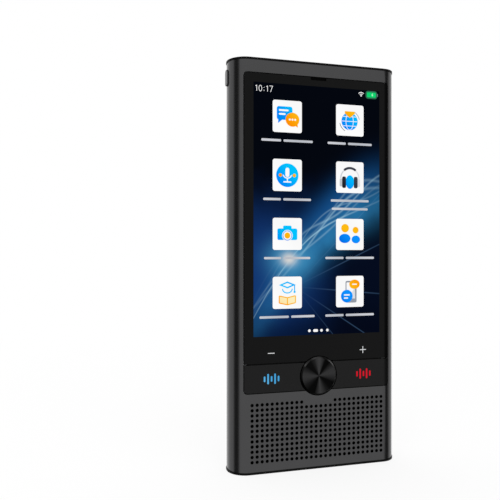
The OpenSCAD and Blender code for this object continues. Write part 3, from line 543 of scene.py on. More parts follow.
@dataclass(frozen=True)
class CoatedLens(Finish):
    """A camera's front lens: coated glass over a stepped black barrel, with a painted glint."""

    centre_z: float
    tint: Colour
    mouth: float = 3.15 * MM
    rim: float = 3.3 * MM
    outer_step: float = 2.05 * MM
    inner_step: float = 1.35 * MM
    painted_glint: Point = (-0.2 * MM, 0.55 * MM)

    def surface(self, sheet: NodeSheet) -> Wire:
        """Makes the lens as rings seen through its coating, and its painted glint."""
        x, _, z = sheet.axes(sheet.point())
        up = z - self.centre_z
        radius = distance(x, up)
        # A painted white glint off the centre, drawn into the colour
        aside = distance(x - self.painted_glint[0], up - self.painted_glint[1])
        bright = tuple(min(1.0, part * 4.0 + 0.16) for part in self.tint)
        barrel = 1 - radius.step(self.mouth, self.rim)
        tone = sheet.mix(barrel, (0.0008, 0.0008, 0.0008), (0.0095, 0.0095, 0.0100))
        for share, colour in (
            (radius.bell(self.outer_step, 0.20 * MM) * 0.7, (0.0040, 0.0042, 0.0048)),
            (radius.bell(self.inner_step, 0.10 * MM) * 0.5, (0.017, 0.018, 0.020)),
            (radius.bell(0.0, 0.95 * MM) * 0.8, self.tint),
            (aside.bell(0.0, 0.26 * MM) * 0.8, bright),
        ):
            tone = sheet.mix(share, tone, colour)
        more = {"Specular IOR Level": 0.02, "Coat Weight": barrel * 0.12, "Coat Roughness": 0.02}
        return sheet.principled(tone, 0.04, more)


@dataclass(frozen=True)
class FacetedDiffuser(Finish):
    """The flash window: a cream diffuser with fine facets."""

    colour: Colour = (0.72, 0.68, 0.42)
    pale: Colour = (0.88, 0.84, 0.70)
    facet: float = 0.45 * MM
    relief: float = 0.05 * MM

    def surface(self, sheet: NodeSheet) -> Wire:
        """Makes the facets as small cells."""
        inputs = {"Vector": sheet.point(), "Scale": 1 / self.facet}
        cells = sheet.node("ShaderNodeTexVoronoi", None, inputs).wire("Distance")
        tone = sheet.mix(cells.clamped(), self.colour, self.pale)
        return sheet.principled(tone, 0.2, {"Normal": sheet.bump(cells, self.relief)})


@dataclass(frozen=True)
class BoardLacquer(Finish):
    """A circuit board: lacquer over copper tracks."""

    lacquer: Colour = (0.01, 0.06, 0.03)
    over_track: Colour = (0.03, 0.14, 0.06)
    pitch: float = 1.6 * MM
    relief: float = 0.02 * MM

    def surface(self, sheet: NodeSheet) -> Wire:
        """Makes the tracks as a fine net under the lacquer."""
        inputs = {"Vector": sheet.point(), "Scale": 1 / self.pitch}
        cells = sheet.node("ShaderNodeTexVoronoi", {"feature": "DISTANCE_TO_EDGE"}, inputs)
        track = 1 - cells.wire("Distance").step(0.03, 0.07)
        tone = sheet.mix(track, self.lacquer, self.over_track)
        return sheet.principled(tone, 0.3, {"Normal": sheet.bump(track, self.relief)})


@dataclass(frozen=True)
class WovenMesh(Finish):
    """Fine woven acoustic mesh."""

    gap: Colour = (0.0008, 0.0008, 0.0008)
    thread: Colour = (0.004, 0.004, 0.004)
    pitch: float = 0.12 * MM
    relief: float = 0.03 * MM

    def surface(self, sheet: NodeSheet) -> Wire:
        """Makes the weave from two crossing waves."""
        x, _, z = sheet.axes(sheet.point())
        warp, weft = (sheet.math("SINE", way * (math.tau / self.pitch)) for way in (x, z))
        weave = warp * weft * 0.5 + 0.5
        more = {"Specular IOR Level": 0.02, "Normal": sheet.bump(weave, self.relief)}
        return sheet.principled(sheet.mix(weave, self.gap, self.thread), 0.8, more)


SLEEVE = Satin("bead_blasted_grey", (0.068, 0.068, 0.0695), 1.0, 0.20, 0.5, relief=0.0008 * MM)
CAPS = Satin("black_cap_plastic", (0.003, 0.003, 0.003), 0.0, 0.4, 0.06)
WINDOW = Satin("rear_window_plastic", (0.009, 0.009, 0.0095), 0.0, 0.34, 0.12)
KEYS = Satin("key_plastic", (0.003, 0.003, 0.0031), 0.0, 0.2, 0.165, drift=0.03)
BLACK = Satin("black_moulding", (0.004, 0.004, 0.004), 0.0, 0.5, 0.15)
RINGS = Satin("machined_ring", (0.09, 0.09, 0.095), 1.0, 0.22, 0.5)
CHASSIS = Satin("cast_chassis", (0.35, 0.36, 0.37), 1.0, 0.45, 0.5)
PLATED = Satin("tin_plate", (0.62, 0.63, 0.64), 1.0, 0.3, 0.5)
FLEX = Satin("amber_flex", (0.45, 0.18, 0.03), 0.0, 0.35, 0.5)
FOAM = Satin("closed_foam", (0.012, 0.012, 0.012), 0.0, 0.9, 0.3, 0.35 * MM, 0.05 * MM)
FOIL = Satin("battery_wrap", (0.42, 0.44, 0.46), 0.6, 0.38, 0.5, 0.8 * MM, 0.02 * MM)
PHOSPHOR = Satin("phosphor", (0.85, 0.62, 0.12), 0.0, 0.5, 0.5)
GLASS = Gloss("cover_glass")
CAMERA_GLASS = Gloss("camera_bar_glass", (0.0004, 0.0004, 0.0005), 0.012, 0.04)


# --- outlines


def disc(x: float, z: float, rx: float, rz: float | None = None, sides: int = 40) -> Outline:
    """Gives a circle of radius rx, or an ellipse whose half height is rz."""
    turns = [math.tau * i / sides for i in range(sides)]
    return [(x + rx * math.cos(t), z + (rz or rx) * math.sin(t)) for t in turns]


def rounded_box(x: float, z: float, w: float, h: float, r: float, steps: int = 6) -> Outline:
    """Gives a box with round corners.

    Args:
        x: Its centre across.
        z: Its centre up.
        w: Its width.
        h: Its height.
        r: The radius of its corners.
        steps: How many sides a corner has.

    Returns:
        The outline.
    """
    outline: Outline = []
    for quarter, (sx, sz) in enumerate([(1, 1), (-1, 1), (-1, -1), (1, -1)]):
        for i in range(steps + 1):
            turn = math.pi / 2 * (quarter + i / steps)
            cx = x + sx * (w / 2 - r)
            cz = z + sz * (h / 2 - r)
            outline.append((cx + r * math.cos(turn), cz + r * math.sin(turn)))
    return outline


def oval_band(
    x: float, z: float, rx: float, rz: float, w: float, start: float = 0, end: float = FULL_RING
) -> Outline:
    """Gives a band along all or part of an ellipse.

    Args:
        x: Its centre across.
        z: Its centre up.
        rx: Its half width, to the middle of the band.
        rz: Its half height, to the middle of the band.
        w: The band's width.
        start: Where the band starts, in degrees.
        end: Where it ends, in degrees.

    Returns:
        The outline.
    """
    steps = 28
    turns = [math.radians(start + (end - start) * i / steps) for i in range(steps + 1)]
    half = w / 2
    outer = [(x + (rx + half) * math.cos(t), z + (rz + half) * math.sin(t)) for t in turns]
    inner = [(x + (rx - half) * math.cos(t), z + (rz - half) * math.sin(t)) for t in turns]
    return outer + inner[::-1]


def arc_band(x: float, z: float, r: float, w: float, start: float, end: float) -> Outline:
    """Gives a band w wide along an arc of radius r, from start to end in degrees."""
    return oval_band(x, z, r, r, w, start, end)


def bar(x0: float, z0: float, x1: float, z1: float, w: float) -> Outline:
    """Gives a straight bar between two points.

    Args:
        x0: The first point across.
        z0: The first point up.
        x1: The second point across.
        z1: The second point up.
        w: The bar's width.

    Returns:
        The outline.
    """
    length = math.hypot(x1 - x0, z1 - z0)
    nx = -(z1 - z0) / length * w / 2
    nz = (x1 - x0) / length * w / 2
    return [(x0 + nx, z0 + nz), (x0 - nx, z0 - nz), (x1 - nx, z1 - nz), (x1 + nx, z1 + nz)]


# --- mesh


def add_sheet(mesh: Mesh, outline: Outline, back: float) -> None:
    """Adds one layer of ink to a mesh, as a closed thin sheet.

    Args:
        mesh: The mesh.
        outline: Its outline as (x, z).
        back: The Y of its back.
    """
    near = [mesh.verts.new((x, back - INK_LAYER, z)) for x, z in outline]
    far = [mesh.verts.new((x, back, z)) for x, z in outline]
    mesh.faces.new(near)
    mesh.faces.new(far[::-1])
    count = len(outline)
    for i in range(count):
        j = (i + 1) % count
        mesh.faces.new((near[i], far[i], far[j], near[j]))


def add_object(name: str, data: bpy.types.ID) -> bpy.types.Object:
    """Makes an object and puts it in the scene.

    Args:
        name: Its name.
        data: Its mesh, camera or light.

    Returns:
        The object.
    """
    made = bpy.data.objects.new(name, data)
    bpy.context.scene.collection.objects.link(made)
    return made


def make_piece(name: str, mesh: Mesh, finish: Finish, body: str) -> None:
    """Makes a piece of the object from a mesh.

    Args:
        name: The piece's name.
        mesh: Its mesh, in the part's frame, which is freed.
        finish: Its finish.
        body: The body that it rides on.
    """
    bmesh.ops.recalc_face_normals(mesh, faces=mesh.faces[:])
    data = bpy.data.meshes.new(name)
    mesh.to_mesh(data)
    mesh.free()
    data.materials.append(finish.material())
    piece = add_object(name, data)
    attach(piece, body)
    LOG.info("made %s", name)


def smoothing_group() -> bpy.types.NodeTree:
    """Makes the modifier that welds a solid's faces and smooths all but its sharp edges."""
    group = bpy.data.node_groups.new("smooth_faces", "GeometryNodeTree")
    group.is_modifier = True
    for way in ("INPUT", "OUTPUT"):
        group.interface.new_socket("Geometry", in_out=way, socket_type="NodeSocketGeometry")
    sheet = NodeSheet(group)
    turn = sheet.node("GeometryNodeInputMeshEdgeAngle").wire("Unsigned Angle")
    angles = {"A": turn, "B": SHARP_TURN}
    soft = sheet.node("FunctionNodeCompare", {"operation": "LESS_EQUAL"}, angles).wire()
    solid = sheet.node("NodeGroupInput").wire()
    for kind, settings, inputs in (
        ("GeometryNodeRemoveAttribute", {}, {"Name": "custom_normal"}),
        ("GeometryNodeMergeByDistance", {}, {"Distance": 1e-7}),
        ("GeometryNodeSetShadeSmooth", {"domain": "FACE"}, {"Shade Smooth": True}),
        ("GeometryNodeSetShadeSmooth", {"domain": "EDGE"}, {"Shade Smooth": soft}),
    ):
        solid = sheet.node(kind, settings, {0: solid, **inputs}).wire()
    sheet.node("NodeGroupOutput", None, {0: solid})
    return group


# --- sub-assemblies


@dataclass
class SubAssembly:
    """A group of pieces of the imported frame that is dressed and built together."""

    frame: dict
    smoothing: bpy.types.NodeTree

    def dress(self, finish: Finish, *nodes: str) -> None:
        """Gives solids their finish and smooths their round faces.

        Args:
            finish: Their finish.
            nodes: Their names.
        """
        for name in nodes:
            solid = self.frame["nodes"][name]
            solid.data.materials.clear()
            solid.data.materials.append(finish.material())
            modifier = solid.modifiers.new("smooth_faces", "NODES")
            modifier.node_group = self.smoothing
            LOG.info("dressed %s in %s", name, finish.name)

    def build(self) -> None:
        """Builds and dresses the group."""
        raise NotImplementedError


@dataclass
class Housing(SubAssembly):
    """The metal sleeve, its end caps, the rear window and the power key."""

    def build(self) -> None:
        """Dresses the outer solids."""
        self.dress(SLEEVE, "housing_sleeve", "power_key")
        self.dress(CAPS, "top_cap", "bottom_cap")
        self.dress(WINDOW, "rear_window")


@dataclass
class KeyDeck(SubAssembly):
    """The voice keys with their lit marks, and the round key with its bevel."""

    bevel: float = 0.5 * MM

    def build(self) -> None:
        """Dresses the keys."""
        low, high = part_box("round_key_disc")
        self.dress(KEYS, "left_voice_key", "right_voice_key")
        self.dress(LitInk("blue_light", srgb(70, 160, 214), srgb(112, 194, 236)), "left_wave_mark")
        self.dress(LitInk("red_light", srgb(190, 12, 28), srgb(210, 26, 44)), "right_wave_mark")
        self.dress(BLACK, "round_key_carrier")
        face = (high.x - low.x) / 2 - self.bevel
        self.dress(SpunMetal("spun_metal", (low.z + high.z) / 2, face), "round_key_disc")


@dataclass
class RearCamera(SubAssembly):
    """The camera bar on the back, with its two cameras and the flash."""

    def build(self) -> None:
        """Dresses the cameras and the flash."""
        self.dress(CAMERA_GLASS, "camera_cover")
        self.dress(RINGS, "upper_camera_ring", "lower_camera_ring")
        tints = {"upper": (0.004, 0.035, 0.045), "lower": (0.004, 0.010, 0.030)}
        for place, tint in tints.items():
            low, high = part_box(f"{place}_camera_lens")
            finish = CoatedLens(f"{place}_lens_coating", (low.z + high.z) / 2, tint)
            self.dress(finish, f"{place}_camera_lens")
        self.dress(FacetedDiffuser("flash_diffuser"), "flash_window")
        self.dress(PHOSPHOR, "flash_led")
        self.dress(BLACK, "upper_camera", "lower_camera", "camera_bracket")


@dataclass
class Electronics(SubAssembly):
    """What the housing holds: boards, battery, loudspeaker and their fittings."""

    def build(self) -> None:
        """Dresses the inner solids."""
        self.dress(BoardLacquer("board_lacquer"), "main_board", "key_board", "port_board")
        self.dress(CHASSIS, "chassis")
        self.dress(PLATED, "shield_cans", "dome_switches", "side_switch")
        self.dress(PLATED, "charging_port", "vibration_motor", "board_screws")
        self.dress(FLEX, "microphone_flex", "board_flex", "antenna")
        self.dress(FOIL, "battery")
        self.dress(FOAM, "speaker_foam", "glass_bond")
        self.dress(WovenMesh("acoustic_mesh"), "speaker_mesh", "earpiece_mesh")
        self.dress(BLACK, "loudspeaker_box", "loudspeaker_driver", "earpiece")
        self.dress(BLACK, "processor", "microphones")


class Ink(Enum):
    """The lit inks of the picture."""

    WHITE = LitInk("white_ink", srgb(255, 255, 255), srgb(250, 250, 250))
    BLUE = LitInk("blue_ink", srgb(0, 138, 250), srgb(0, 196, 255))
    DEEP_BLUE = LitInk("deep_blue_ink", srgb(0, 98, 224), srgb(10, 146, 255))
    ORANGE = LitInk("orange_ink", srgb(255, 142, 0), srgb(255, 190, 20))
    DARK = LitInk("dark_ink", srgb(24, 26, 34), srgb(60, 64, 76))
    STEEL = LitInk("steel_ink", srgb(104, 110, 120), srgb(150, 156, 166))
    GREEN = LitInk("green_ink", srgb(10, 212, 112), srgb(34, 230, 134))
    MINT = LitInk("mint_ink", srgb(190, 255, 214), srgb(214, 255, 230))
    CREAM = LitInk("cream_ink", srgb(250, 222, 150), srgb(255, 240, 190))
    GREY = LitInk("grey_ink", srgb(188, 192, 198), srgb(222, 224, 228))
    SHADE = LitInk("green_shade_ink", srgb(44, 110, 80), srgb(60, 128, 96))
    LABEL = LitInk("label_ink", srgb(186, 190, 198), srgb(206, 208, 214))
    # The printed marks, made to glow with painted light
    PRINT = LitInk("printed_mark_ink", srgb(216, 218, 220), srgb(228, 229, 230))


@dataclass
class Artwork:
    """Sheets of ink that lie on the glass, each ink gathered into one piece.

    Attributes:
        face: The Y of the surface that carries them.
    """

    face: float

    def __post_init__(self) -> None:
        """Starts with no ink."""
        self.meshes: defaultdict[Ink, Mesh] = defaultdict(bmesh.new)

    def draw(self, ink: Ink, level: int, *outlines: Outline) -> None:
        """Lays outlines, in metres, down in an ink that has level layers under it."""
        for outline in outlines:
            add_sheet(self.meshes[ink], outline, self.face - level * INK_LAYER)

    def finish(self, prefix: str, body: str, slot: str) -> None:
        """Makes one piece of each ink."""
        for ink, mesh in self.meshes.items():
            make_piece(f"{prefix}_{ink.name.lower()}", mesh, ink.value, body)


@dataclass
class TilePen:
    """Draws a pictogram in a tile's own units, of which the tile is 10 high.

    Attributes:
        art: Where it draws.
        x: The tile's centre across.
        z: The tile's centre up.
        unit: The length of one unit.
    """

    art: Artwork
    x: float
    z: float
    unit: float

    def ink(self, ink: Ink, level: int, *outlines: Outline) -> None:
        """Draws outlines given in the tile's units.

        Args:
            ink: The ink.
            level: How many layers of the pictogram lie under these.
            outlines: The outlines.
        """
        placed = [
            [(self.x + px * self.unit, self.z + pz * self.unit) for px, pz in outline]
            for outline in outlines
        ]
        self.art.draw(ink, level + 2, *placed)

    def two_bubbles(self) -> None:
        """Two speech bubbles with lines of speech in them."""
        self.ink(Ink.BLUE, 0, rounded_box(-0.9, 1.0, 5.2, 4.2, 0.7))
        self.ink(Ink.BLUE, 0, [(-3.0, -1.0), (-1.6, -1.0), (-3.1, -2.2)])
        self.ink(Ink.WHITE, 1, rounded_box(-1.2, 1.9, 3.2, 0.55, 0.25))
        self.ink(Ink.WHITE, 1, rounded_box(-1.7, 0.7, 2.2, 0.55, 0.25))
        self.ink(Ink.ORANGE, 1, disc(1.7, -0.9, 2.3, 2.2), [(2.2, -2.6), (3.4, -1.9), (3.5, -3.3)])
        self.ink(Ink.WHITE, 2, disc(0.8, -0.9, 0.32), disc(1.7, -0.9, 0.32), disc(2.6, -0.9, 0.32))

    def globe(self) -> None:
        """A globe with its lines of latitude, and an arrow down into it."""
        x, z, line = -0.1, -0.3, 0.18
        self.ink(Ink.BLUE, 0, disc(x, z, 2.85))
        self.ink(Ink.WHITE, 1, bar(-2.85, z, 2.65, z, line))
        self.ink(Ink.WHITE, 1, bar(-2.4, -1.8, 2.2, -1.8, line), bar(-2.4, 1.2, 2.2, 1.2, line))
        self.ink(Ink.WHITE, 2, oval_band(x, z, 1.3, 2.76, line))
        self.ink(Ink.ORANGE, 3, [(-1.8, 2.9), (1.7, 2.9), (1.7, 2.2), (-0.05, 0.8), (-1.8, 2.2)])
        for start in (12, 192):
            self.ink(Ink.STEEL, 0, arc_band(x, z, 3.5, 0.22, start, start + 50))

    def microphone(self) -> None:
        """A microphone on its stand, in a blue disc."""
        self.ink(Ink.BLUE, 0, disc(0, 0, 3.7, 3.7, 56))
        self.ink(Ink.WHITE, 1, rounded_box(0, 0.9, 1.3, 2.9, 0.64))
        self.ink(Ink.WHITE, 1, arc_band(0, 0.6, 1.5, 0.34, 200, 340))
        self.ink(Ink.WHITE, 1, bar(0, -0.9, 0, -2.0, 0.34), bar(-1.3, -2.1, 1.3, -2.1, 0.4))
        self.ink(Ink.ORANGE, 1, disc(-2.3, 0.0, 0.55), disc(2.3, 0.0, 0.55))

    def headphones(self) -> None:
        """Headphones."""
        self.ink(Ink.GREY, 0, arc_band(0, -0.3, 3.2, 0.4, 0, 180))
        self.ink(Ink.DARK, 1, arc_band(0, -0.2, 3.2, 0.75, 50, 130))
        for side in (-1, 1):
            self.ink(Ink.GREY, 0, rounded_box(side * 3.1, -1.7, 1.0, 2.6, 0.45))
            self.ink(Ink.DARK, 1, rounded_box(side * 2.05, -1.6, 1.35, 3.7, 0.5))
        self.ink(Ink.BLUE, 0, disc(0, -1.5, 1.5, 2.2))

    def camera(self) -> None:
        """A camera."""
        self.ink(Ink.BLUE, 0, rounded_box(0, -0.1, 6.6, 3.6, 0.5))
        self.ink(Ink.BLUE, 0, rounded_box(0, 1.9, 2.8, 1.4, 0.4))
        self.ink(Ink.WHITE, 1, disc(0, -0.5, 1.75))
        self.ink(Ink.DEEP_BLUE, 2, oval_band(0, -0.5, 1.45, 1.45, 0.22))
        self.ink(Ink.ORANGE, 2, disc(0, -0.5, 0.95))

    def people(self) -> None:
        """Two plain round figures."""
        self.ink(Ink.ORANGE, 0, disc(-1.7, 2.0, 1.35), disc(2.0, 1.4, 1.05))
        self.ink(Ink.DEEP_BLUE, 0, disc(-1.8, -1.3, 2.0, 1.5), disc(2.1, -1.6, 1.5, 1.25))

    def cap_and_book(self) -> None:
        """A flat cap with a tassel over an open book."""
        line = 0.34
        self.ink(Ink.BLUE, 0, [(0, 3.5), (2.8, 2.4), (0, 1.3), (-2.8, 2.4)])
        self.ink(Ink.WHITE, 1, [(0, 3.0), (1.6, 2.4), (0, 1.8), (-1.6, 2.4)])
        self.ink(Ink.BLUE, 1, bar(2.4, 2.4, 2.4, 0.4, line), disc(2.4, 0.2, 0.36))
        self.ink(Ink.BLUE, 1, oval_band(0, 1.2, 1.6, 1.3, line, 180, 360))
        pages = [(-2.7, -1.0), (0, -1.6), (2.7, -1.0), (2.7, -3.2), (0, -3.8), (-2.7, -3.2)]
        self.ink(Ink.CREAM, 0, pages)
        for side in (-1, 1):
            foot, head = bar(0, -3.8, side * 2.7, -3.2, line), bar(0, -1.6, side * 2.7, -1.0, line)
            self.ink(Ink.ORANGE, 1, foot, head)
            self.ink(Ink.ORANGE, 2, bar(side * 2.7, -3.2, side * 2.7, -1.0, line))
        self.ink(Ink.ORANGE, 2, bar(0, -1.6, 0, -3.8, line))

    def phone(self) -> None:
        """A handset with two bubbles beside it."""
        self.ink(Ink.STEEL, 0, rounded_box(0.4, -0.1, 3.9, 7.0, 0.5))
        self.ink(Ink.WHITE, 1, rounded_box(0.3, 0.3, 3.0, 5.2, 0.2))
        self.ink(Ink.GREY, 2, [(1.8, -2.3), (1.8, 1.4), (-0.6, -2.3)])
        self.ink(Ink.ORANGE, 3, disc(1.6, 2.3, 1.85, 1.5))
        self.ink(Ink.WHITE, 4, bar(0.8, 2.3, 2.4, 2.3, 0.4))
        self.ink(Ink.DEEP_BLUE, 3, disc(-1.1, -1.5, 2.05))
        self.ink(Ink.WHITE, 4, bar(-2.1, -1.1, -0.1, -1.1, 0.42), bar(-2.1, -2.1, -0.7, -2.1, 0.42))


@dataclass
class Display(SubAssembly):
    """The picture on the display and the marks printed on the glass.

    The borders, head and foot are how much further the panel reaches than its picture. The
    places of the clock, the radio sign and the battery are from the picture's top corners, and
    those of the minus and plus signs from the middle of the glass's foot.

    Attributes:
        tile_x: How far the tiles' centres lie from the middle between the columns.
        middle: Where that middle lies across.
        first_row: How far the top of the first row lies below the picture's top.
        label_drop: How far a label's first line lies below its tile.
        line_pitch: The distance between a label's two lines.
        bar_gap: The gap between two of its bars.
    """

    left_border: float = 1.4 * MM
    right_border: float = 1.57 * MM
    head: float = 0.17 * MM
    foot: float = 3.4 * MM
    tile_w: float = 11.05 * MM
    tile_h: float = 11.4 * MM
    tile_r: float = 0.8 * MM
    tile_x: float = 12.2 * MM
    middle: float = 0.22 * MM
    first_row: float = 5.83 * MM
    row_pitch: float = 20.91 * MM
    label_drop: float = 2.9 * MM
    line_pitch: float = 3.0 * MM
    bar_h: float = 0.84 * MM
    bar_r: float = 0.35 * MM
    bar_gap: float = 0.9 * MM
    clock: Point = (0.6 * MM, -3.25 * MM)
    clock_h: float = 2.25 * MM
    radio: Point = (-7.48 * MM, -1.6 * MM)
    battery: Point = (-3.3 * MM, -1.6 * MM)
    minus: Point = (-18.05 * MM, 3.48 * MM)
    plus: Point = (17.65 * MM, 3.25 * MM)

    def build(self) -> None:
        """Dresses the glass and the panel, and lays the picture on the glass."""
        self.dress(GLASS, "front_glass", "display_panel")
        low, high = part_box("display_panel")
        left, right = low.x + self.left_border, high.x - self.right_border
        area = Area(left, right, low.z + self.foot, high.z - self.head)
        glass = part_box("front_glass")[0]
        self.lay_background(area, glass.y)
        art = Artwork(glass.y)
        self.draw_tiles(art, area.top - self.first_row)
        self.draw_clock(art, area.left + self.clock[0], area.top + self.clock[1])
        self.draw_radio(art, area.right + self.radio[0], area.top + self.radio[1])
        self.draw_battery(art, area.right + self.battery[0], area.top + self.battery[1])
        self.draw_page_dots(art, area.bottom + 1.5 * MM, 1.0 * MM)
        art.finish("picture", "housing", "display")
        marks = Artwork(glass.y)
        self.draw_touch_marks(marks, glass.z)
        marks.finish("touch_marks", "housing", "cover_glass")

    @staticmethod
    def lay_background(area: Area, face: float) -> None:
        """Lays the background sheet on the glass.

        Args:
            area: The picture's area.
            face: The Y of the glass's face.
        """
        mesh = bmesh.new()
        foot = [(area.left, area.bottom), (area.right, area.bottom)]
        head = [(area.right, area.top), (area.left, area.top)]
        add_sheet(mesh, foot + head, face)
        finish = NightPicture("night_picture", area)
        make_piece("picture_background", mesh, finish, "housing")

    def draw_tiles(self, art: Artwork, top: float) -> None:
        """Draws four rows of two tiles, each with a pictogram and a label.

        A label is a list of lines, and a line is the lengths of its bars in millimetres.

        Args:
            art: Where it draws.
            top: The top of the first row.
        """
        rows = [
            ((TilePen.two_bubbles, [(7.4, 11.2)]), (TilePen.globe, [(7.2, 9.6)])),
            ((TilePen.microphone, [(6.6, 10.6)]), (TilePen.headphones, [(15.2,), (14.4,)])),
            ((TilePen.camera, [(6.4, 10.2)]), (TilePen.people, [(7.2, 11.4)])),
            ((TilePen.cap_and_book, [(11.0, 9.0)]), (TilePen.phone, [(7.2, 11.4)])),
        ]
        for number, row in enumerate(rows):
            z = top - number * self.row_pitch - self.tile_h / 2
            for side, (pictogram, label) in zip((-1, 1), row):
                x = self.middle + side * self.tile_x
                art.draw(Ink.WHITE, 1, rounded_box(x, z, self.tile_w, self.tile_h, self.tile_r))
                pictogram(TilePen(art, x, z, self.tile_h / 10))
                first = z - self.tile_h / 2 - self.label_drop
                for line, lengths in enumerate(label):
                    self.draw_bars(art, x, first - line * self.line_pitch, lengths)

    def draw_bars(self, art: Artwork, x: float, z: float, lengths: Iterable[float]) -> None:
        """Draws a line of a label as a row of bars.

        Args:
            art: Where it draws.
            x: The line's middle across.
            z: The line's middle up.
            lengths: Each bar's length in millimetres.
        """
        bars = [length * MM for length in lengths]
        start = x - (sum(bars) + self.bar_gap * (len(bars) - 1)) / 2
        for length in bars:
            middle = start + length / 2
            art.draw(Ink.LABEL, 1, rounded_box(middle, z, length, self.bar_h, self.bar_r))
            start += length + self.bar_gap

    def draw_clock(self, art: Artwork, x: float, z: float) -> None:
        """Draws a time of day.

        Args:
            art: Where it draws.
            x: The left end.
            z: The foot of the digits.
        """
        h = self.clock_h
        line, gap, wide = h * 0.085, h * 0.26, h * 0.56
        head = z + h - line / 2
        for sign in "10:17":
            if sign == "1":
                stem = x + h * 0.26
                art.draw(Ink.WHITE, 1, bar(stem, z + line / 2, stem, head, line))
                flag = bar(stem, z + h * 0.93, x + h * 0.06, z + h * 0.80, line)
                art.draw(Ink.WHITE, 2, flag)
                x += h * 0.32 + gap
            elif sign == ":":
                for share in (0.20, 0.66):
                    art.draw(Ink.WHITE, 1, disc(x + line * 0.7, z + h * share, line * 0.7))
                x += line * 1.4 + gap
            elif sign == "7":
                art.draw(Ink.WHITE, 1, bar(x, head, x + wide, head, line))
                art.draw(Ink.WHITE, 2, bar(x + wide - line / 2, head, x + wide * 0.3, z, line))
                x += wide + gap
            else:
                rx, rz = (wide - line) / 2, (h - line) / 2
                art.draw(Ink.WHITE, 1, oval_band(x + wide / 2, z + h / 2, rx, rz, line))
                x += wide + gap

    @staticmethod
    def draw_radio(art: Artwork, x: float, z: float) -> None:
        """Draws two arcs over a dot.

        Args:
            art: Where it draws.
            x: The sign's middle across.
            z: The sign's middle up.
        """
        for radius in (0.7, 1.32):
            art.draw(Ink.WHITE, 1, arc_band(x, z - 0.62 * MM, radius * MM, 0.25 * MM, 40, 140))
        art.draw(Ink.WHITE, 1, disc(x, z - 0.56 * MM, 0.27 * MM))

    @staticmethod
    def draw_battery(art: Artwork, x: float, z: float) -> None:
        """Draws a battery: its shell, its charge, a bolt and the tip beside it.

        Args:
            art: Where it draws.
            x: The shell's middle across.
            z: The shell's middle up.
        """
        art.draw(Ink.SHADE, 1, rounded_box(x, z, 4.7 * MM, 2.9 * MM, 1.0 * MM))
        art.draw(Ink.GREEN, 2, rounded_box(x, z, 3.6 * MM, 1.8 * MM, 0.4 * MM))
        bolt = [(0.5, 0.7), (0.0, -0.1), (0.35, -0.1), (0.2, -0.7), (0.8, 0.15), (0.42, 0.15)]
        art.draw(Ink.MINT, 3, [(x + bx * MM, z + bz * MM) for bx, bz in bolt])
        art.draw(Ink.STEEL, 1, rounded_box(x + 2.5 * MM, z, 0.34 * MM, 1.0 * MM, 0.16 * MM))

    @staticmethod
    def draw_page_dots(art: Artwork, z: float, size: float) -> None:
        """Draws the dots that stand for the display's pages."""
        for x, width in ((-3.55, 1.0), (-1.15, 1.9), (1.15, 1.0), (3.45, 1.0)):
            art.draw(Ink.WHITE, 1, rounded_box(x * MM, z, width * MM, size, size * 0.49))

    def draw_touch_marks(self, art: Artwork, foot: float) -> None:
        """Draws the minus and plus signs printed on the glass, made to glow with painted light.

        Args:
            art: Where it draws.
            foot: The height of the glass's foot.
        """
        reach, line = 1.25 * MM, 0.26 * MM
        for x, up in (self.minus, self.plus):
            art.draw(Ink.PRINT, 0, bar(x - reach, foot + up, x + reach, foot + up, line))
        x, up = self.plus
        art.draw(Ink.PRINT, 1, bar(x, foot + up - reach, x, foot + up + reach, line))


# --- studio


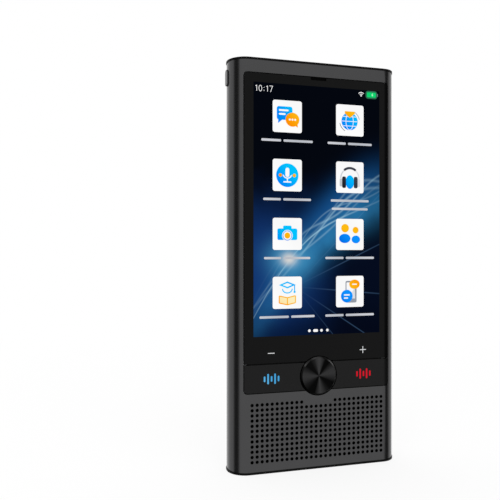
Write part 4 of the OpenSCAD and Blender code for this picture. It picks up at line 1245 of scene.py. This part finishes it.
@dataclass
class Studio:
    """The camera, the pale floor and the soft light.

    Attributes:
        stand: Where the camera stands, in metres.
        heading: Which way it looks, in degrees to the right of +Y.
        lens: Its focal length in millimetres, for a film 36 mm wide.
        lift: How far its picture is shifted up, as a share of the picture's width.
        left_flag: How far to the left of that heading the left flag's middle is, in degrees.
        right_flag: How far to the right the right flag's middle is.
        flag_width: Half the width of a flag's dark middle, in degrees.
        flag_fade: How far its soft edge reaches past that.
        flag_low: How high it is all dark, as the sine of the angle up or down.
        flag_high: Where it ends.
        flag_dark: How much of the dome's light it takes.
        floor_gap: How far the floor lies below the object.
        paint: How much of the light the floor sends back.
        glare: The share of pure white that the camera sees in the floor beside the object.
        glare_near: How far from the object's middle that share starts to rise.
        glare_far: Where it has risen to all.
        lamp: Where the soft light hangs.
        lamp_size: How long its sides are.
        lamp_power: Its power in watts.
        target: What it looks at, the middle of the object.
    """

    stand: tuple[float, float, float] = (-0.0927, -0.2282, 0.0785)
    heading: float = 16.88
    lens: float = 47.33
    lift: float = 0.002
    left_flag: float = 121.0
    right_flag: float = 102.0
    flag_width: float = 9.0
    flag_fade: float = 17.0
    flag_low: float = 0.55
    flag_high: float = 0.8
    flag_dark: float = 0.88
    floor_gap: float = 0.05 * MM
    paint: float = 0.97
    glare: float = 0.82
    glare_near: float = 0.09
    glare_far: float = 0.40
    lamp: tuple[float, float, float] = (-0.20, -0.50, 1.00)
    lamp_size: float = 0.60
    lamp_power: float = 1.9
    target: tuple[float, float, float] = (0.0, 0.0, 0.07)

    def build(self) -> None:
        """Sets the studio up."""
        self.place_camera()
        self.lay_floor()
        self.light_world()
        self.hang_softbox()
        bpy.context.scene.view_settings.view_transform = "Standard"

    def place_camera(self) -> None:
        """Stands the camera level, on its heading."""
        data = bpy.data.cameras.new("camera")
        data.lens = self.lens
        data.sensor_width = 36.0
        data.shift_y = self.lift
        data.clip_start = 0.01
        camera = add_object("camera", data)
        camera.location = self.stand
        camera.rotation_euler = (math.pi / 2, 0.0, -math.radians(self.heading))
        bpy.context.scene.camera = camera

    def lay_floor(self) -> None:
        """Lays the white floor."""
        mesh = bmesh.new()
        bmesh.ops.create_grid(mesh, x_segments=1, y_segments=1, size=3.0)
        data = bpy.data.meshes.new("floor")
        mesh.to_mesh(data)
        mesh.free()
        material = bpy.data.materials.new("floor_white")
        material.use_nodes = True
        self.paint_floor(NodeSheet(material.node_tree))
        data.materials.append(material)
        floor = add_object("floor", data)
        floor.location.z = -self.floor_gap

    def paint_floor(self, sheet: NodeSheet) -> None:
        """Paints the floor, which keeps the object's soft shadow.

        It is clear from below and right under the object, so that the foot can be seen, and
        gloss sees the same studio below the floor's level as above it.

        Args:
            sheet: The floor material's nodes.
        """
        paint = sheet.node("ShaderNodeBsdfDiffuse", None, {"Color": (self.paint,) * 3}).wire()
        white = sheet.node("ShaderNodeEmission", None, {"Color": WHITE_LIGHT, "Strength": 1.0})
        x, y, _ = sheet.axes(sheet.point())
        path = sheet.node("ShaderNodeLightPath")
        camera = path.wire("Is Camera Ray")
        far = distance(x, y).step(self.glare_near, self.glare_far)
        share = camera * (far * (1 - self.glare) + self.glare)
        lit = sheet.node("ShaderNodeMixShader", None, {0: share, 1: paint, 2: white.wire()})
        low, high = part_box("housing_sleeve")
        wide, deep = x * (1 / high.x), (y - (low.y + high.y) / 2) * (2 / (high.y - low.y))
        under = sheet.math("LESS_THAN", wide * wide + deep * deep, 0.9)
        below = sheet.node("ShaderNodeNewGeometry").wire("Backfacing") * camera
        passed = path.wire("Is Glossy Ray") + path.wire("Is Transmission Ray") + under + below
        clear = sheet.node("ShaderNodeBsdfTransparent").wire()
        inputs = {0: passed.clamped(), 1: lit.wire(), 2: clear}
        surface = sheet.node("ShaderNodeMixShader", None, inputs).wire()
        sheet.node("ShaderNodeOutputMaterial", None, {"Surface": surface})

    def flags(self, x: Wire, y: Wire) -> Wire:
        """Gives 1 behind the dark flags that stand to the left and the right.

        Args:
            x: How far across a direction goes.
            y: How far back.

        Returns:
            The flags' share, from 0 to 1.
        """
        level = (x * x + y * y + 1e-9) ** 0.5
        edge = math.cos(math.radians(self.flag_width + self.flag_fade))
        middle = math.cos(math.radians(self.flag_width))
        share: Value = 0.0
        for offset in (-self.left_flag, self.right_flag):
            turn = math.radians(self.heading + offset)
            facing = (x * math.sin(turn) + y * math.cos(turn)) / level
            share = share + facing.step(edge, middle)
        return share.clamped()

    def light_world(self) -> None:
        """Lights the object from a white dome with a dark flag on each side."""
        world = bpy.data.worlds.new("studio")
        world.use_nodes = True
        bpy.context.scene.world = world
        sheet = NodeSheet(world.node_tree)
        x, y, z = sheet.axes(sheet.node("ShaderNodeTexCoord").wire("Generated"))
        low = 1 - abs(z).step(self.flag_low, self.flag_high)
        dome = 1 - self.flags(x, y) * low * self.flag_dark
        camera = sheet.node("ShaderNodeLightPath").wire("Is Camera Ray")
        inputs = {"Color": WHITE_LIGHT, "Strength": (dome * (1 - camera) + camera).clamped()}
        back = sheet.node("ShaderNodeBackground", None, inputs).wire()
        sheet.node("ShaderNodeOutputWorld", None, {"Surface": back})

    def hang_softbox(self) -> None:
        """Hangs a soft light overhead."""
        data = bpy.data.lights.new("overhead", "AREA")
        data.shape = "RECTANGLE"
        data.size = data.size_y = self.lamp_size
        data.energy = self.lamp_power
        lamp = add_object("overhead", data)
        lamp.location = self.lamp
        aim = Vector(self.target) - Vector(self.lamp)
        lamp.rotation_euler = aim.to_track_quat("-Z", "Y").to_euler()


def main() -> None:
    """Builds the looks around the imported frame."""
    logging.basicConfig(level=logging.INFO, format="%(name)s: %(message)s")
    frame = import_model()
    smoothing = smoothing_group()
    Studio().build()
    for part in (Housing, KeyDeck, RearCamera, Electronics, Display):
        part(frame, smoothing).build()
        LOG.info("built %s", part.__name__)


if __name__ == "__main__":
    main()
